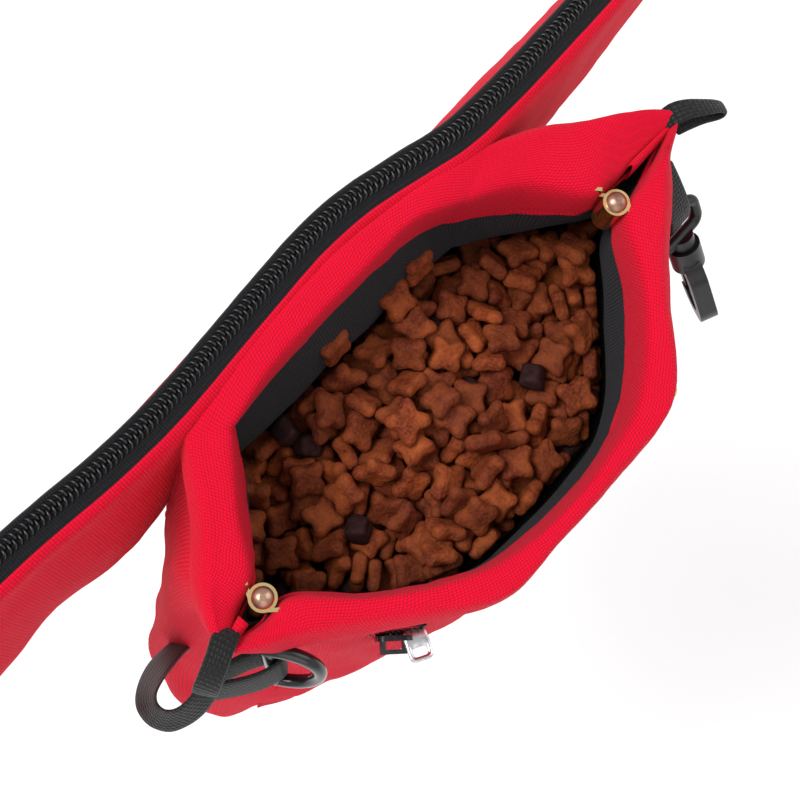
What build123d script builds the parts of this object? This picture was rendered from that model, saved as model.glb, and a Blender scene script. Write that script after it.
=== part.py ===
from build123d import *
import os
from math import atan2, cos, degrees, hypot, radians, sin

# Treat pouch on a slim zipped waist pack. Millimetres. +X along the belt, +Y towards the wearer, +Z up.
# The origin is the centre of the flat face of the pack that lies against the wearer.

CLEAR = 0.3  # gap between pieces on different bodies

# Waist pack
PACK_HALF_LENGTH = 140.0
PACK_HALF_HEIGHT = 34.0
PACK_DEPTH = 13.9
BACK_PAD = 2.5
PACK_WALL = 1.5
ZIP_Y = -8.0  # centre line of the pack's zip
WING_LENGTH = 26.0
WING_THICKNESS = 5.0
WING_TIP = 15.0  # half its height where the webbing starts

# Belt
WEBBING = 1.6
WEBBING_WIDTH = 25.0
BELT_Y = -7.0
BELT_LOOP_RADIUS = 62.9
BELT_DEPTH = 126.0  # from the front run to the rear run
BELT_REACH = 235.0
REAR_Y = BELT_Y + BELT_DEPTH

# Mouth frame, about the middle of the mouth
TOP = PACK_HALF_HEIGHT
MOUTH_Y = -52.0
BACK_LEFT = (-42.0, 30.5)
BACK_RIGHT = (38.7, 30.5)
RIGHT_PIN = (60.4, 1.0)
FRONT_RIGHT = (34.6, -35.5)
FRONT_LEFT = (-26.1, -35.5)
LEFT_PIN = (-60.4, -1.0)
KNUCKLE_RADIUS = 3.2
PIN_RADIUS = 1.5
RUNNING = 0.05  # radial clearance of a pin in its knuckles
OPEN_PIVOT_GAP = 0.35  # radial clearance where the closed linkage is cut
HEAD_RADIUS = 2.5
HEAD_DOME = 2.9  # radius of the sphere that the domed head is cut from
HEAD_SUNK = 1.4
HEAD_TOP = 0.2
TAIL_RADIUS = 2.2
STRIP = 0.9
STRIP_OUTER = 3.1  # outer face of a strip, out from the line through its pins
STRIP_TOP = -1.5
STRIP_LOW = -12.5
BANDS = ((-5.0, -1.5), (-8.8, -5.2), (-12.5, -9.0))
BAND_GAP = 0.1
NOTCH = 3.6

# Folded fabric channel round the frame
CHANNEL_DEEP = 14.0
CHANNEL_INNER = 0.35
CHANNEL_OUTER = 4.6
CHANNEL_END = 4.5

# Pouch shell: depth below the rim, then its outline from the back left corner, clockwise from above
SHELL_LEVELS = (
    (14.4, ((-45, 37.8), (42, 37.8), (65.5, 4.5), (65.5, -2.5), (37, -39.5), (-28, -39.5),
            (-65.5, -4.5), (-65.5, 2.5))),
    (40.0, ((-54, 37.8), (52, 37.8), (76, 15), (66, -5), (38, -39), (-28, -38.6), (-65, -4.6), (-76, 15))),
    (92.0, ((-66, 37.8), (64, 37.8), (88, 16), (70, -8), (42, -40), (-30, -39.5), (-68, -8), (-88, 16))),
    (145.0, ((-72, 37.8), (70, 37.8), (96, 10), (90, -14), (60, -34), (-60, -34), (-92, -14), (-98, 10))),
)
SHELL_WALL = 1.2
LINING_GAP = 0.3
LINING_WALL = 0.6
BOTTOM_THICKNESS = 1.4
FILL_DEPTH = 26.0  # from the rim down to the treats

# Zips, in their own frame: X along the chain, Y across the tapes, Z out of the fabric
CHAIN_GAP = 0.6
CHAIN_HALF = 3.0
CHAIN_HIGH = 1.6
TAPE = 0.6
SLIDER_LENGTH = 9.0
SLIDER_HALF_WIDTH = 4.2
PLATE = 1.3

# Webbing fittings
STRAP = 1.4
STRAP_WIDTH = 10.0
EAR_DEEP = 13.0
TAB_LOW = 11.0
RING_ROD = 1.6
HOOK_TILT = 38.0
HOOK_TURN = 60.0
HOOK_HALF_THICK = 2.4
HOOK_SLOT = 7.4
HOOK_BAR = 3.3
GATE_THICK = 2.9
COLLAR_RADIUS = 3.4
SOCKET_RADIUS = 4.4
BUTTON_RADIUS = 2.3  # rivet head that holds the post in the hook's socket

# Side-release buckle, along X on the rear run of the belt
BUCKLE_LENGTH = 34.0
BUCKLE_HALF_HEIGHT = 16.5
BUCKLE_HALF_DEPTH = 5.0
BUCKLE_WALL = 1.7
BUCKLE_REACH = 27.0  # the webbing ends this far from the buckle's middle
BUCKLE_GAP = 0.4
WINDOW_NEAR = 7.5
WINDOW_FAR = 22.5
PRONG_HALF_DEPTH = 2.5
PRONG_INNER = 8.0
PRONG_OUTER = 11.0
SHOULDER = 15.8
ROUNDING = 3.0

# Belt fittings
ADJUSTER_X = 62.0
KEEPER_X = 100.0
GLIDE_HALF_LENGTH = 9.0
GLIDE_HALF_DEPTH = 3.4
GLIDE_BAR = 3.0
RAIL_NEAR = 13.2
RAIL_FAR = 16.2

# Places of the pieces at the mouth's two ends
RING_PLACE = Pos(-69.5, MOUTH_Y - 12.5, TOP - 17.5) * Rot(0, 0, -28) * Rot(65, 0, 0)
RING_SWING = -30.0
HOOK_PLACE = Pos(80, MOUTH_Y - 11.5, TOP - 28) * Rot(-HOOK_TILT, 0, 0)
LOOP_PATH = ((-84.8, -3.5), (-97, -5), (-97, 6.5), (-84, 6.5))
LOOP_BEND = 4.6
LEFT_EAR = ((-67.2, 5.5), (-71, 1.2), (-76, 1.2), (-76, -3.2), (-71, -3.2), (-67.2, -7.5))
RIGHT_EAR = ((67.2, 8.5), (78, 5.6), (86, 5.6), (86, 1.4), (78, 1.4), (67.2, -6.5))

# Pocket on the front of the pouch
POCKET_TOP = 46.2
POCKET_LOW = 92.0
POCKET_ZIP_DEPTH = 40.0
POCKET_ZIP_OUT = 7.8


def block(x0, x1, y0, y1, z0, z1):
    """A box given by its two faces along each axis."""
    size = Box(x1 - x0, y1 - y0, z1 - z0)
    return Pos((x0 + x1) / 2, (y0 + y1) / 2, (z0 + z1) / 2) * size


def upright(radius, low, high):
    """A round bar along Z."""
    return Pos(0, 0, (low + high) / 2) * Cylinder(radius, high - low)


def outline(points, z):
    """A flat face through points at height z."""
    return Pos(0, 0, z) * make_face(Polyline(*points, close=True))


def inset(points, distance):
    """The convex outline moved inwards by distance. The points run clockwise."""
    moved = []
    count = len(points)
    for i in range(count):
        before, here, after = points[i - 1], points[i], points[(i + 1) % count]
        first = atan2(here[1] - before[1], here[0] - before[0]) - radians(90)
        second = atan2(after[1] - here[1], after[0] - here[0]) - radians(90)
        reach = distance / cos((second - first) / 2)
        along = (first + second) / 2
        if cos((second - first) / 2) < 0:
            along += radians(180)
            reach = -reach
        moved.append((here[0] + reach * cos(along), here[1] + reach * sin(along)))
    return moved


def bag(distance, first_depth, last_depth):
    """The pouch's shape, its walls moved in by distance, between two depths below the rim."""
    sections = []
    for depth, points in SHELL_LEVELS:
        if first_depth < depth < last_depth:
            sections.append((depth, points))
    for depth in (first_depth, last_depth):
        sections.append((depth, level_outline(depth)))
    sections.sort(key=lambda section: section[0])
    faces = [outline(inset(points, distance), TOP - depth) for depth, points in sections]
    return Pos(0, MOUTH_Y, 0) * loft(faces, ruled=True)


def level_outline(depth):
    """The shell's outline at any depth, between its named levels."""
    for (upper, above), (lower, below) in zip(SHELL_LEVELS, SHELL_LEVELS[1:]):
        if depth <= lower or lower == SHELL_LEVELS[-1][0]:
            share = (depth - upper) / (lower - upper)
            pairs = zip(above, below)
            return [(a[0] + share * (b[0] - a[0]), a[1] + share * (b[1] - a[1])) for a, b in pairs]


def segment(start, end):
    """The place and length of a mouth segment. Its local +Y points out of the mouth."""
    turn = degrees(atan2(end[1] - start[1], end[0] - start[0]))
    length = hypot(end[0] - start[0], end[1] - start[1])
    return Pos(start[0], start[1] + MOUTH_Y, TOP) * Rot(0, 0, turn), length


def leaf(start, end, own, bores):
    """One strip of the frame with its rolled knuckles. own lists the bands of its knuckles, and bores
    its bore radius at each end."""
    place, length = segment(start, end)
    strip = block(0, length, STRIP_OUTER - STRIP, STRIP_OUTER, STRIP_LOW, STRIP_TOP)
    for index, (low, high) in enumerate(BANDS):
        if index not in own:
            for near in (0, length - NOTCH):
                strip -= block(near, near + NOTCH, 0, KNUCKLE_RADIUS, low - BAND_GAP, high + BAND_GAP)
    for index in own:
        low, high = BANDS[index]
        for x in (0, length):
            strip += Pos(x, 0, 0) * upright(KNUCKLE_RADIUS, low, high)
    for x, bore in zip((0, length), bores):
        strip -= Pos(x, 0, 0) * upright(bore, STRIP_LOW - 1, STRIP_TOP + 1)
    return place * strip


def channel(start, end):
    """The fabric channel round one strip: a flat sleeve, open at both ends."""
    place, length = segment(start, end)
    sleeve = block(CHANNEL_END, length - CHANNEL_END, CHANNEL_INNER, CHANNEL_OUTER, -CHANNEL_DEEP, 0)
    sleeve -= block(
        0, length, STRIP_OUTER - STRIP - CLEAR, STRIP_OUTER + CLEAR, STRIP_LOW - CLEAR, STRIP_TOP + CLEAR
    )
    return place * sleeve


def hinge_pin(at, head):
    """A frame pin, with a domed head where head is true."""
    pin = upright(PIN_RADIUS, STRIP_LOW - CLEAR, STRIP_TOP + CLEAR)
    if head:
        dome = Pos(0, 0, STRIP_TOP + CLEAR - HEAD_SUNK) * Sphere(HEAD_DOME)
        pin += dome & upright(HEAD_RADIUS, STRIP_TOP + 0.1, HEAD_TOP)
        pin += upright(TAIL_RADIUS, STRIP_LOW - 0.9, STRIP_LOW - 0.1)
    return Pos(at[0], at[1] + MOUTH_Y, TOP) * pin


def zip_tapes(length, half_width):
    """The two tapes of a zip."""
    upper = block(-length / 2, length / 2, CHAIN_GAP, half_width, -TAPE, 0)
    return [upper, mirror(upper, Plane.XZ)]


def zip_chain(length):
    """The two halves of the coil chain, side by side."""
    upper = block(-length / 2, length / 2, CHAIN_GAP, CHAIN_HALF, 0, CHAIN_HIGH)
    return [upper, mirror(upper, Plane.XZ)]


def zip_slider():
    """A slider: two plates joined by a thin post that runs in the middle of the chain, and a bail."""
    half = SLIDER_LENGTH / 2
    crown = CHAIN_HIGH + CLEAR
    plate = RectangleRounded(SLIDER_LENGTH, 2 * SLIDER_HALF_WIDTH, 2.0)
    slider = Pos(0, 0, crown) * extrude(plate, PLATE)
    slider += Pos(0, 0, -TAPE - CLEAR - PLATE) * extrude(plate, PLATE)
    slider += block(-2.0, 2.0, -CLEAR, CLEAR, -TAPE - CLEAR - 0.5, crown + 0.5)
    bail = block(-3.4, 3.4, -1.1, 1.1, crown + PLATE - 0.2, crown + PLATE + 3.2)
    bail -= block(-2.0, 2.0, -2.0, 2.0, crown + PLATE, crown + PLATE + 2.1)
    return slider + bail


PULL_PIVOT = CHAIN_HIGH + CLEAR + PLATE + 1.0  # height of a pull's cross bar


def zip_pull(length, width):
    """A pull in the XY plane of its own cross bar, which lies on the local Y axis."""
    tab = Pos(length / 2 + 4.5, 0, 0) * extrude(RectangleRounded(length, width, 1.5), 0.6, both=True)
    window = RectangleRounded(length * 0.5, width - 3.2, 0.8)
    tab -= Pos(length / 2 + 5.7, 0, 0) * extrude(window, 2, both=True)
    arms = block(-0.7, 5.5, 1.5, 2.5, -0.6, 0.6)
    arms += block(-0.7, 5.5, -2.5, -1.5, -0.6, 0.6)
    bar = Rot(90, 0, 0) * Cylinder(0.7, 4.0)
    return tab + arms + bar


def strap_loop(length):
    """A strap folded round a rod on the local Y axis, running back along -X. It is STRAP_WIDTH wide."""
    inner = RING_ROD + CLEAR
    outer = inner + STRAP
    band = Pos(-length / 2, 0) * SlotCenterToCenter(length, 2 * outer)
    band -= Pos(-length / 2, 0) * SlotCenterToCenter(length, 2 * inner)
    return Rot(90, 0, 0) * extrude(band, STRAP_WIDTH / 2, both=True)


def d_shaped_ring(width, length):
    """A D of round rod in the XY plane. Its straight bar lies on the local Y axis."""
    bar = Rot(90, 0, 0) * Cylinder(RING_ROD, width)
    bow = ThreePointArc((0, -width / 2), (length, 0), (0, width / 2))
    section = Plane(origin=bow @ 0, z_dir=bow % 0) * Circle(RING_ROD)
    ends = Pos(0, width / 2, 0) * Sphere(RING_ROD) + Pos(0, -width / 2, 0) * Sphere(RING_ROD)
    return bar + sweep(section, path=bow) + ends


def belt(sign):
    """Half of the belt: out from the wing, round the side and along the back to the buckle."""
    start = PACK_HALF_LENGTH + WING_LENGTH + 0.1
    path = FilletPolyline(
        (sign * start, BELT_Y),
        (sign * BELT_REACH, BELT_Y),
        (sign * BELT_REACH, REAR_Y),
        (sign * BUCKLE_REACH, REAR_Y),
        radius=BELT_LOOP_RADIUS,
    )
    return Pos(0, 0, -WEBBING_WIDTH / 2) * extrude(trace(path, WEBBING), WEBBING_WIDTH)


def wing(sign):
    """The tapered end of the pack that the webbing is sewn to."""
    near = PACK_HALF_LENGTH + 0.1
    far = near + WING_LENGTH - 0.1
    tall, narrow = PACK_HALF_HEIGHT, WING_TIP
    shape = make_face(Polyline((near, -tall), (far, -narrow), (far, narrow), (near, tall), close=True))
    plate = Pos(0, BELT_Y, 0) * Rot(90, 0, 0) * extrude(shape, WING_THICKNESS / 2, both=True)
    return plate if sign > 0 else mirror(plate, Plane.YZ)


def webbing_slot(near, far):
    """The slot that the webbing is sewn into, in a buckle half."""
    half = WEBBING / 2 + CLEAR
    wide = WEBBING_WIDTH / 2 + CLEAR + 0.1
    return block(near, far, -half, half, -wide, wide)


def buckle_female():
    """The socket half: a flat case with a window in each edge for a prong, and a slot for the webbing."""
    deep, tall = BUCKLE_HALF_DEPTH, BUCKLE_HALF_HEIGHT
    hollow = deep - BUCKLE_WALL
    case = block(-BUCKLE_LENGTH, 0, -deep, deep, -tall, tall)
    case = fillet(case.edges().filter_by(Axis.Y), ROUNDING)
    case -= block(-24, 1, -hollow, hollow, 2.9 - tall, tall - 2.9)
    case -= block(-WINDOW_FAR, -WINDOW_NEAR, -hollow, hollow, -tall - 1, tall + 1)
    case -= webbing_slot(-BUCKLE_LENGTH - 1, CLEAR / 2 - BUCKLE_REACH + 0.05)
    return Pos(0, REAR_Y, 0) * case


def buckle_male():
    """The plug half: a grip with a slot for the webbing, and a flat guide between the prongs."""
    grip = block(BUCKLE_GAP, BUCKLE_LENGTH, -4.5, 4.5, -15.5, 15.5)
    grip = fillet(grip.edges().filter_by(Axis.Y), ROUNDING)
    grip -= webbing_slot(BUCKLE_REACH - 0.2, BUCKLE_LENGTH + 1)
    guide = block(-20, 1, -1.5, 1.5, -3.4, 3.4)
    return Pos(0, REAR_Y, 0) * (grip + guide)


def buckle_prong(sign):
    """One springy prong with its shoulder in the socket's window."""
    tip, deep = CLEAR + 0.7 - WINDOW_FAR, PRONG_HALF_DEPTH
    heel = -WINDOW_NEAR - 2.0
    arm = block(-18, -CLEAR, -deep, deep, PRONG_INNER, PRONG_OUTER)
    low, high = PRONG_INNER, PRONG_OUTER - 0.5
    edge = ((tip, low), (tip, high), (-17, SHOULDER), (heel, SHOULDER), (heel, low))
    arm += Rot(90, 0, 0) * extrude(make_face(Polyline(*edge, close=True)), deep, both=True)
    prong = Pos(0, REAR_Y, 0) * arm
    return prong if sign > 0 else mirror(prong, Plane.XY)


def strap_adjuster():
    """A tri-glide: two end bars behind the webbing, one centre bar in front, and two side rails."""
    deep, end = GLIDE_HALF_DEPTH, GLIDE_HALF_LENGTH
    bar = GLIDE_BAR / 2
    glide = block(-bar, bar, -deep, -1.4, -RAIL_NEAR - 1, RAIL_NEAR + 1)
    for side in (-1, 1):
        low, high = sorted((side * RAIL_NEAR, side * RAIL_FAR))
        glide += block(-end, end, -deep, deep, low, high)
        middle = side * (end - bar)
        glide += block(middle - bar, middle + bar, 1.4, deep, -RAIL_NEAR - 1, RAIL_NEAR + 1)
    return Pos(ADJUSTER_X, REAR_Y, 0) * glide


def strap_keeper():
    """A loop that holds the belt's spare end flat."""
    loop = block(-5, 5, -2.1, 2.1, -14.2, 14.2)
    loop -= block(-6, 6, -1.2, 1.2, -13.1, 13.1)
    return Pos(KEEPER_X, REAR_Y, 0) * loop


def pack_front():
    """The front of the waist pack: a tray, open towards the wearer and at the top."""
    tape_z = PACK_HALF_HEIGHT - TAPE - CHAIN_HIGH
    tray = block(
        -PACK_HALF_LENGTH, PACK_HALF_LENGTH, -PACK_DEPTH, -BACK_PAD - 0.1, -PACK_HALF_HEIGHT, tape_z
    )
    inner = PACK_HALF_LENGTH - PACK_WALL
    tray -= block(-inner, inner, PACK_WALL - PACK_DEPTH, 0, PACK_WALL - PACK_HALF_HEIGHT, tape_z + 1)
    return tray


def ear(points):
    """The gathered end of the rim, beyond a hinge pin."""
    shape = make_face(Polyline(*points, close=True))
    return Pos(0, MOUTH_Y, TOP - EAR_DEEP) * extrude(shape, EAR_DEEP - 0.5)


def pull_tab(near, tip, far, middle):
    """A webbing tab folded over an ear: near to far along X, with a notch for the ear up to tip."""
    half = STRAP_WIDTH / 2
    low, high = sorted((near, far))
    tab = block(low, high, middle - half, middle + half, -TAB_LOW, -1)
    low, high = sorted((near * 0.9, tip))
    tab -= block(low, high, middle - half + STRAP, middle + half - STRAP, -TAB_LOW - 1, 0)
    return Pos(0, MOUTH_Y, TOP) * tab


def pocket_panel(length, near, far, inner, outer):
    """A pocket on one side of the mouth, in that segment's frame. inner and outer are how far its two
    faces stand out, at the top and at the bottom."""
    faces = []
    for depth, face, skin in ((POCKET_TOP, inner[0], outer[0]), (POCKET_LOW, inner[1], outer[1])):
        points = ((near, face), (length - far, face), (length - far, skin), (near, skin))
        faces.append(outline(points, -depth))
    return loft(faces, ruled=True)


def hook_swivel():
    """The eye for the strap, a collar and the post that the hook turns on. Local -Z runs to the hook."""
    path = Pos(0, -4.0) * RectangleRounded(14, 8, 2.4)
    section = Plane(origin=(0, 0, 0), x_dir=(0, 1, 0), z_dir=(1, 0, 0)) * Circle(RING_ROD)
    eye = Rot(90, 0, 0) * sweep(section, path=path.wire())
    eye += upright(COLLAR_RADIUS, -11.0, -7.6)
    eye += upright(PIN_RADIUS, -16.0, -10.0)
    return eye + upright(BUTTON_RADIUS, -17.2, -15.6)


def hook_body():
    """The snap hook: a socket round the swivel's post, and an oval with a gap at one side for the gate."""
    oval = Pos(0, -27.5) * SlotCenterToCenter(11.5, HOOK_SLOT + 2 * HOOK_BAR, 90)
    oval -= Pos(0, -28.0) * SlotCenterToCenter(9.5, HOOK_SLOT, 90)
    body = Rot(90, 0, 0) * extrude(oval, HOOK_HALF_THICK, both=True)
    body += upright(SOCKET_RADIUS, -18.6, -11.3)
    body -= upright(PIN_RADIUS + RUNNING, -17, -11)
    body -= upright(BUTTON_RADIUS + 0.4, -17.5, -15.3)
    return body - block(HOOK_SLOT / 2 - CLEAR, 8, -3, 3, -33.2, -22.6)


def hook_gate():
    """The sprung gate that closes the hook's gap."""
    inner = HOOK_SLOT / 2 + 0.2
    gate = block(inner, inner + GATE_THICK, -2.0, 2.0, -32.4, -22.9)
    return fillet(gate.edges().filter_by(Axis.Y), 0.8)


def build_nodes():
    """Every piece of the treat pouch, by name."""
    nodes = {}
    half, tall = PACK_HALF_LENGTH, PACK_HALF_HEIGHT

    nodes["pack_back_panel"] = block(-half, half, -BACK_PAD, 0, -tall, tall)
    nodes["pack_front_panel"] = pack_front()
    zip_place = Pos(0, ZIP_Y, tall - CHAIN_HIGH)
    front_tape, back_tape = (zip_place * tape for tape in reversed(zip_tapes(2 * half - 6, 5.4)))
    nodes["waist_zip_tape_front"] = front_tape
    nodes["waist_zip_tape_back"] = back_tape
    nodes["waist_zip_coil"] = Compound(children=[zip_place * row for row in zip_chain(2 * half - 16)])
    stops = [Pos(side * (half - 5), 0, 0) * block(-1.5, 1.5, -3.2, 3.2, 0, 2) for side in (-1, 1)]
    nodes["waist_zip_stops"] = Compound(children=[zip_place * stop for stop in stops])
    slider_place = zip_place * Pos(8 - half + 4 + SLIDER_LENGTH, 0, 0)
    nodes["waist_slider"] = slider_place * zip_slider()
    nodes["waist_pull"] = slider_place * Pos(0, 0, PULL_PIVOT) * zip_pull(17, 6.4)
    nodes["left_wing"] = wing(-1)
    nodes["right_wing"] = wing(1)
    nodes["left_belt"] = belt(-1)
    nodes["right_belt"] = belt(1)
    nodes["buckle_socket"] = buckle_female()
    nodes["buckle_plug"] = buckle_male()
    nodes["buckle_upper_prong"] = buckle_prong(1)
    nodes["buckle_lower_prong"] = buckle_prong(-1)
    nodes["strap_adjuster"] = strap_adjuster()
    nodes["strap_keeper"] = strap_keeper()

    segments = (
        ("back", BACK_LEFT, BACK_RIGHT),
        ("right_back", BACK_RIGHT, RIGHT_PIN),
        ("right_front", RIGHT_PIN, FRONT_RIGHT),
        ("front", FRONT_RIGHT, FRONT_LEFT),
        ("left_front", FRONT_LEFT, LEFT_PIN),
        ("left_back", LEFT_PIN, BACK_LEFT),
    )
    snug = PIN_RADIUS + RUNNING
    for index, (name, start, end) in enumerate(segments):
        own = (0, 2) if index % 2 == 0 else (1,)
        last_bore = PIN_RADIUS + OPEN_PIVOT_GAP if name == "right_front" else snug
        nodes[f"frame_{name}"] = leaf(start, end, own, (snug, last_bore))
        nodes[f"rim_{name}"] = channel(start, end)
    nodes["left_end_pin"] = hinge_pin(LEFT_PIN, True)
    nodes["right_end_pin"] = hinge_pin(RIGHT_PIN, True)
    nodes["back_corner_pins"] = Compound(children=[hinge_pin(at, False) for at in (BACK_LEFT, BACK_RIGHT)])
    nodes["front_corner_pins"] = Compound(children=[hinge_pin(at, False) for at in (FRONT_LEFT, FRONT_RIGHT)])

    first, last = SHELL_LEVELS[0][0], SHELL_LEVELS[-1][0]
    shell = bag(0, first, last) - bag(SHELL_WALL, first, last)
    front_cut, back_cut = [], []
    for depth, points in SHELL_LEVELS:
        back_left, back_right, _, _, front_right, front_left, _, _ = points
        front_sides = (front_right, (front_right[0], -90), (front_left[0], -90), front_left)
        front_points = [(x, y if y == -90 else y + 8) for x, y in front_sides]
        back_points = [(back_left[0], 30), (back_left[0], 60), (back_right[0], 60), (back_right[0], 30)]
        front_cut.append(outline(front_points, TOP - depth))
        back_cut.append(outline(back_points, TOP - depth))
    front_zone = Pos(0, MOUTH_Y, 0) * loft(front_cut, ruled=True)
    back_zone = Pos(0, MOUTH_Y, 0) * loft(back_cut, ruled=True)
    sides = shell - front_zone - back_zone
    nodes["pouch_front_panel"] = shell & front_zone
    nodes["pouch_back_panel"] = shell & back_zone
    nodes["left_gusset"] = sides & block(-200, 0, -200, 0, -200, 100)
    nodes["right_gusset"] = sides & block(0, 200, -200, 0, -200, 100)
    floor = outline(SHELL_LEVELS[-1][1], TOP - last - 0.1 - BOTTOM_THICKNESS)
    nodes["pouch_bottom"] = Pos(0, MOUTH_Y, 0) * extrude(floor, BOTTOM_THICKNESS)
    lining_out = SHELL_WALL + LINING_GAP
    lining = bag(lining_out, first, last - LINING_GAP)
    lining -= bag(lining_out + LINING_WALL, first, last - LINING_GAP - LINING_WALL)
    nodes["pouch_lining"] = lining
    fill_out = lining_out + LINING_WALL + LINING_GAP
    nodes["kibble"] = bag(fill_out, FILL_DEPTH, last - 2 * LINING_GAP - LINING_WALL)

    nodes["left_ear"] = ear(LEFT_EAR)
    nodes["right_ear"] = ear(RIGHT_EAR)
    nodes["left_pull_tab"] = pull_tab(-71.3, -76.1, -88, -1.5)
    nodes["right_pull_tab"] = pull_tab(78.3, 86.1, 97, 3.5)
    curl = trace(FilletPolyline(*LOOP_PATH, radius=LOOP_BEND), STRAP)
    loop_place = Pos(0, MOUTH_Y, TOP - TAB_LOW - 0.2 - STRAP_WIDTH)
    nodes["left_web_loop"] = loop_place * extrude(curl, STRAP_WIDTH)
    nodes["d_ring_strap"] = RING_PLACE * strap_loop(12)
    nodes["d_ring"] = RING_PLACE * Rot(0, RING_SWING, 0) * d_shaped_ring(16.5, 11)
    nodes["hook_strap"] = HOOK_PLACE * Rot(0, 0, 90) * Rot(0, 90, 0) * strap_loop(14.7)
    nodes["hook_swivel"] = HOOK_PLACE * hook_swivel()
    nodes["hook_body"] = HOOK_PLACE * Rot(0, 0, HOOK_TURN) * hook_body()
    nodes["hook_gate"] = HOOK_PLACE * Rot(0, 0, HOOK_TURN) * hook_gate()

    front_place, front_length = segment(FRONT_RIGHT, FRONT_LEFT)
    left_place, left_length = segment(FRONT_LEFT, LEFT_PIN)
    nodes["pocket_front"] = front_place * pocket_panel(front_length, 2, 2, (5.2, 5.6), (7.2, 11))
    nodes["pocket_left"] = left_place * pocket_panel(left_length, 2, 12, (5.9, 9.9), (7.9, 13.5))
    chain_length = left_length - 16
    pocket_zip = left_place * Pos(chain_length / 2 + 3, POCKET_ZIP_OUT, -POCKET_ZIP_DEPTH) * Rot(-90, 0, 0)
    nodes["pocket_zip_tapes"] = Compound(children=[pocket_zip * tape for tape in zip_tapes(chain_length, 6)])
    nodes["pocket_zip_coil"] = Compound(children=[pocket_zip * row for row in zip_chain(chain_length)])
    pocket_slide = pocket_zip * Pos(-2.3, 0, 0)
    nodes["pocket_slider"] = pocket_slide * zip_slider()
    nodes["pocket_pull"] = pocket_slide * Pos(0, 0, PULL_PIVOT) * Rot(0, -115, 0) * zip_pull(9, 6)
    return nodes


os.makedirs("parts", exist_ok=True)
for node_name, shape in build_nodes().items():
    export_step(shape, f"parts/{node_name}.step")
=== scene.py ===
import math
import random

import bpy
import numpy as np
from mathutils import Euler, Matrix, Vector, noise


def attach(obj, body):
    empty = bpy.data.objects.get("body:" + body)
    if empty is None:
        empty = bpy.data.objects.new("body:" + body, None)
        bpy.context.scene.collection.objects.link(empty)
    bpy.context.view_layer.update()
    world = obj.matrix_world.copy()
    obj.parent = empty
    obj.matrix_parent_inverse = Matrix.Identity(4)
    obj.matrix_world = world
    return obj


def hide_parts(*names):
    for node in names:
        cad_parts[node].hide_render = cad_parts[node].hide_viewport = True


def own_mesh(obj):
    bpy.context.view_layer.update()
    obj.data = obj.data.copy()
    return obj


# Looks of the treat pouch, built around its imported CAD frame. Lengths in this script are in millimetres,
# and mesh_piece turns them into metres. Points round the mouth are (x, y, depth): x and y from the
# middle of the mouth, and depth below the rim.

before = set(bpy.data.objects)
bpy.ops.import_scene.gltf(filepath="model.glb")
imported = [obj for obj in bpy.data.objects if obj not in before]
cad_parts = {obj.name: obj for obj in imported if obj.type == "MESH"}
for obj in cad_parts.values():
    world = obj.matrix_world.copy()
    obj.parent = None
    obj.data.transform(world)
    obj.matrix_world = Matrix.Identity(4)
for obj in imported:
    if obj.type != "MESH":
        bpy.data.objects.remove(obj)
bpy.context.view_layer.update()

MM = 0.001
FULL_TURN = 2 * math.pi
UP = (0, 0, 1)

# The height of the rim, and the y of the middle of the mouth.
RIM_Z = 34.0
MOUTH_Y = -52.0
SEED = 11

# How close to a corner the points beside it stand, as a share of the way to the next point.
CORNER_SHARE = 0.14

# A strap's rounded edge, and how much thicker it is in the middle.
STRAP_EDGE = 0.35
STRAP_CROWN = 1.1

# The spacing of the fabric layout at the closed ends of a strap, in metres.
END_LAYOUT = 0.0005


# ---- curves and grids

def spread(points, per_span, closed=False):
    """A smooth curve through points: per_span steps from each point to the next."""
    points = np.asarray(points, float)
    count = len(points)
    if closed:
        padded = np.concatenate([points[-1:], points, points[:2]])
        spans = count
    else:
        before = 2 * points[:1] - points[1:2]
        after = 2 * points[-1:] - points[-2:-1]
        padded = np.concatenate([before, points, after])
        spans = count - 1
    made = []
    for i in range(spans):
        p0, p1, p2, p3 = padded[i:i + 4]
        for step in range(per_span):
            t = step / per_span
            made.append(0.5 * (2 * p1 + (p2 - p0) * t + (2 * p0 - 5 * p1 + 4 * p2 - p3) * t ** 2
                               + (3 * p1 - p0 - 3 * p2 + p3) * t ** 3))
    if not closed:
        made.append(points[-1])
    return np.array(made)


def with_corners(ring, corners):
    """The ring with a point close before and after each corner, which keeps the turn tight."""
    ring = np.asarray(ring, float)
    made = []
    for i, point in enumerate(ring):
        before, after = ring[i - 1], ring[(i + 1) % len(ring)]
        if i in corners:
            made += [point + CORNER_SHARE * (before - point), point, point + CORNER_SHARE * (after - point)]
        else:
            made.append(point)
    return made


def skin(rings, across, along, closed=True, corners=()):
    """A grid of points over rings of control points: across rows from ring to ring, along steps round.

    corners are the points of a ring where it turns sharply.
    """
    rows = [spread(with_corners(ring, corners), along, closed) for ring in rings]
    return spread(np.array(rows), across)


def normals(grid, closed):
    """A unit normal at each point of a grid of points."""
    along = np.gradient(grid, axis=1)
    if closed:
        along = (np.roll(grid, -1, axis=1) - np.roll(grid, 1, axis=1)) / 2
    found = np.cross(along, np.gradient(grid, axis=0))
    return found / (np.linalg.norm(found, axis=2, keepdims=True) + 1e-12)


def wrinkled(grid, amount, size, closed=True, fade=None, tall=1.0):
    """The grid with soft random folds of that amount, size millimetres apart.

    fade scales each row, and tall stretches the folds upwards.
    """
    spacing = np.array([size, size, size * tall])
    out = normals(grid, closed)
    push = np.zeros(grid.shape[:2])
    for r in range(grid.shape[0]):
        for c in range(grid.shape[1]):
            push[r, c] = noise.noise(Vector(grid[r, c] / spacing))
    if fade is not None:
        push = push * np.asarray(fade)[:, None]
    return grid + out * (amount * push)[:, :, None]


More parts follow.
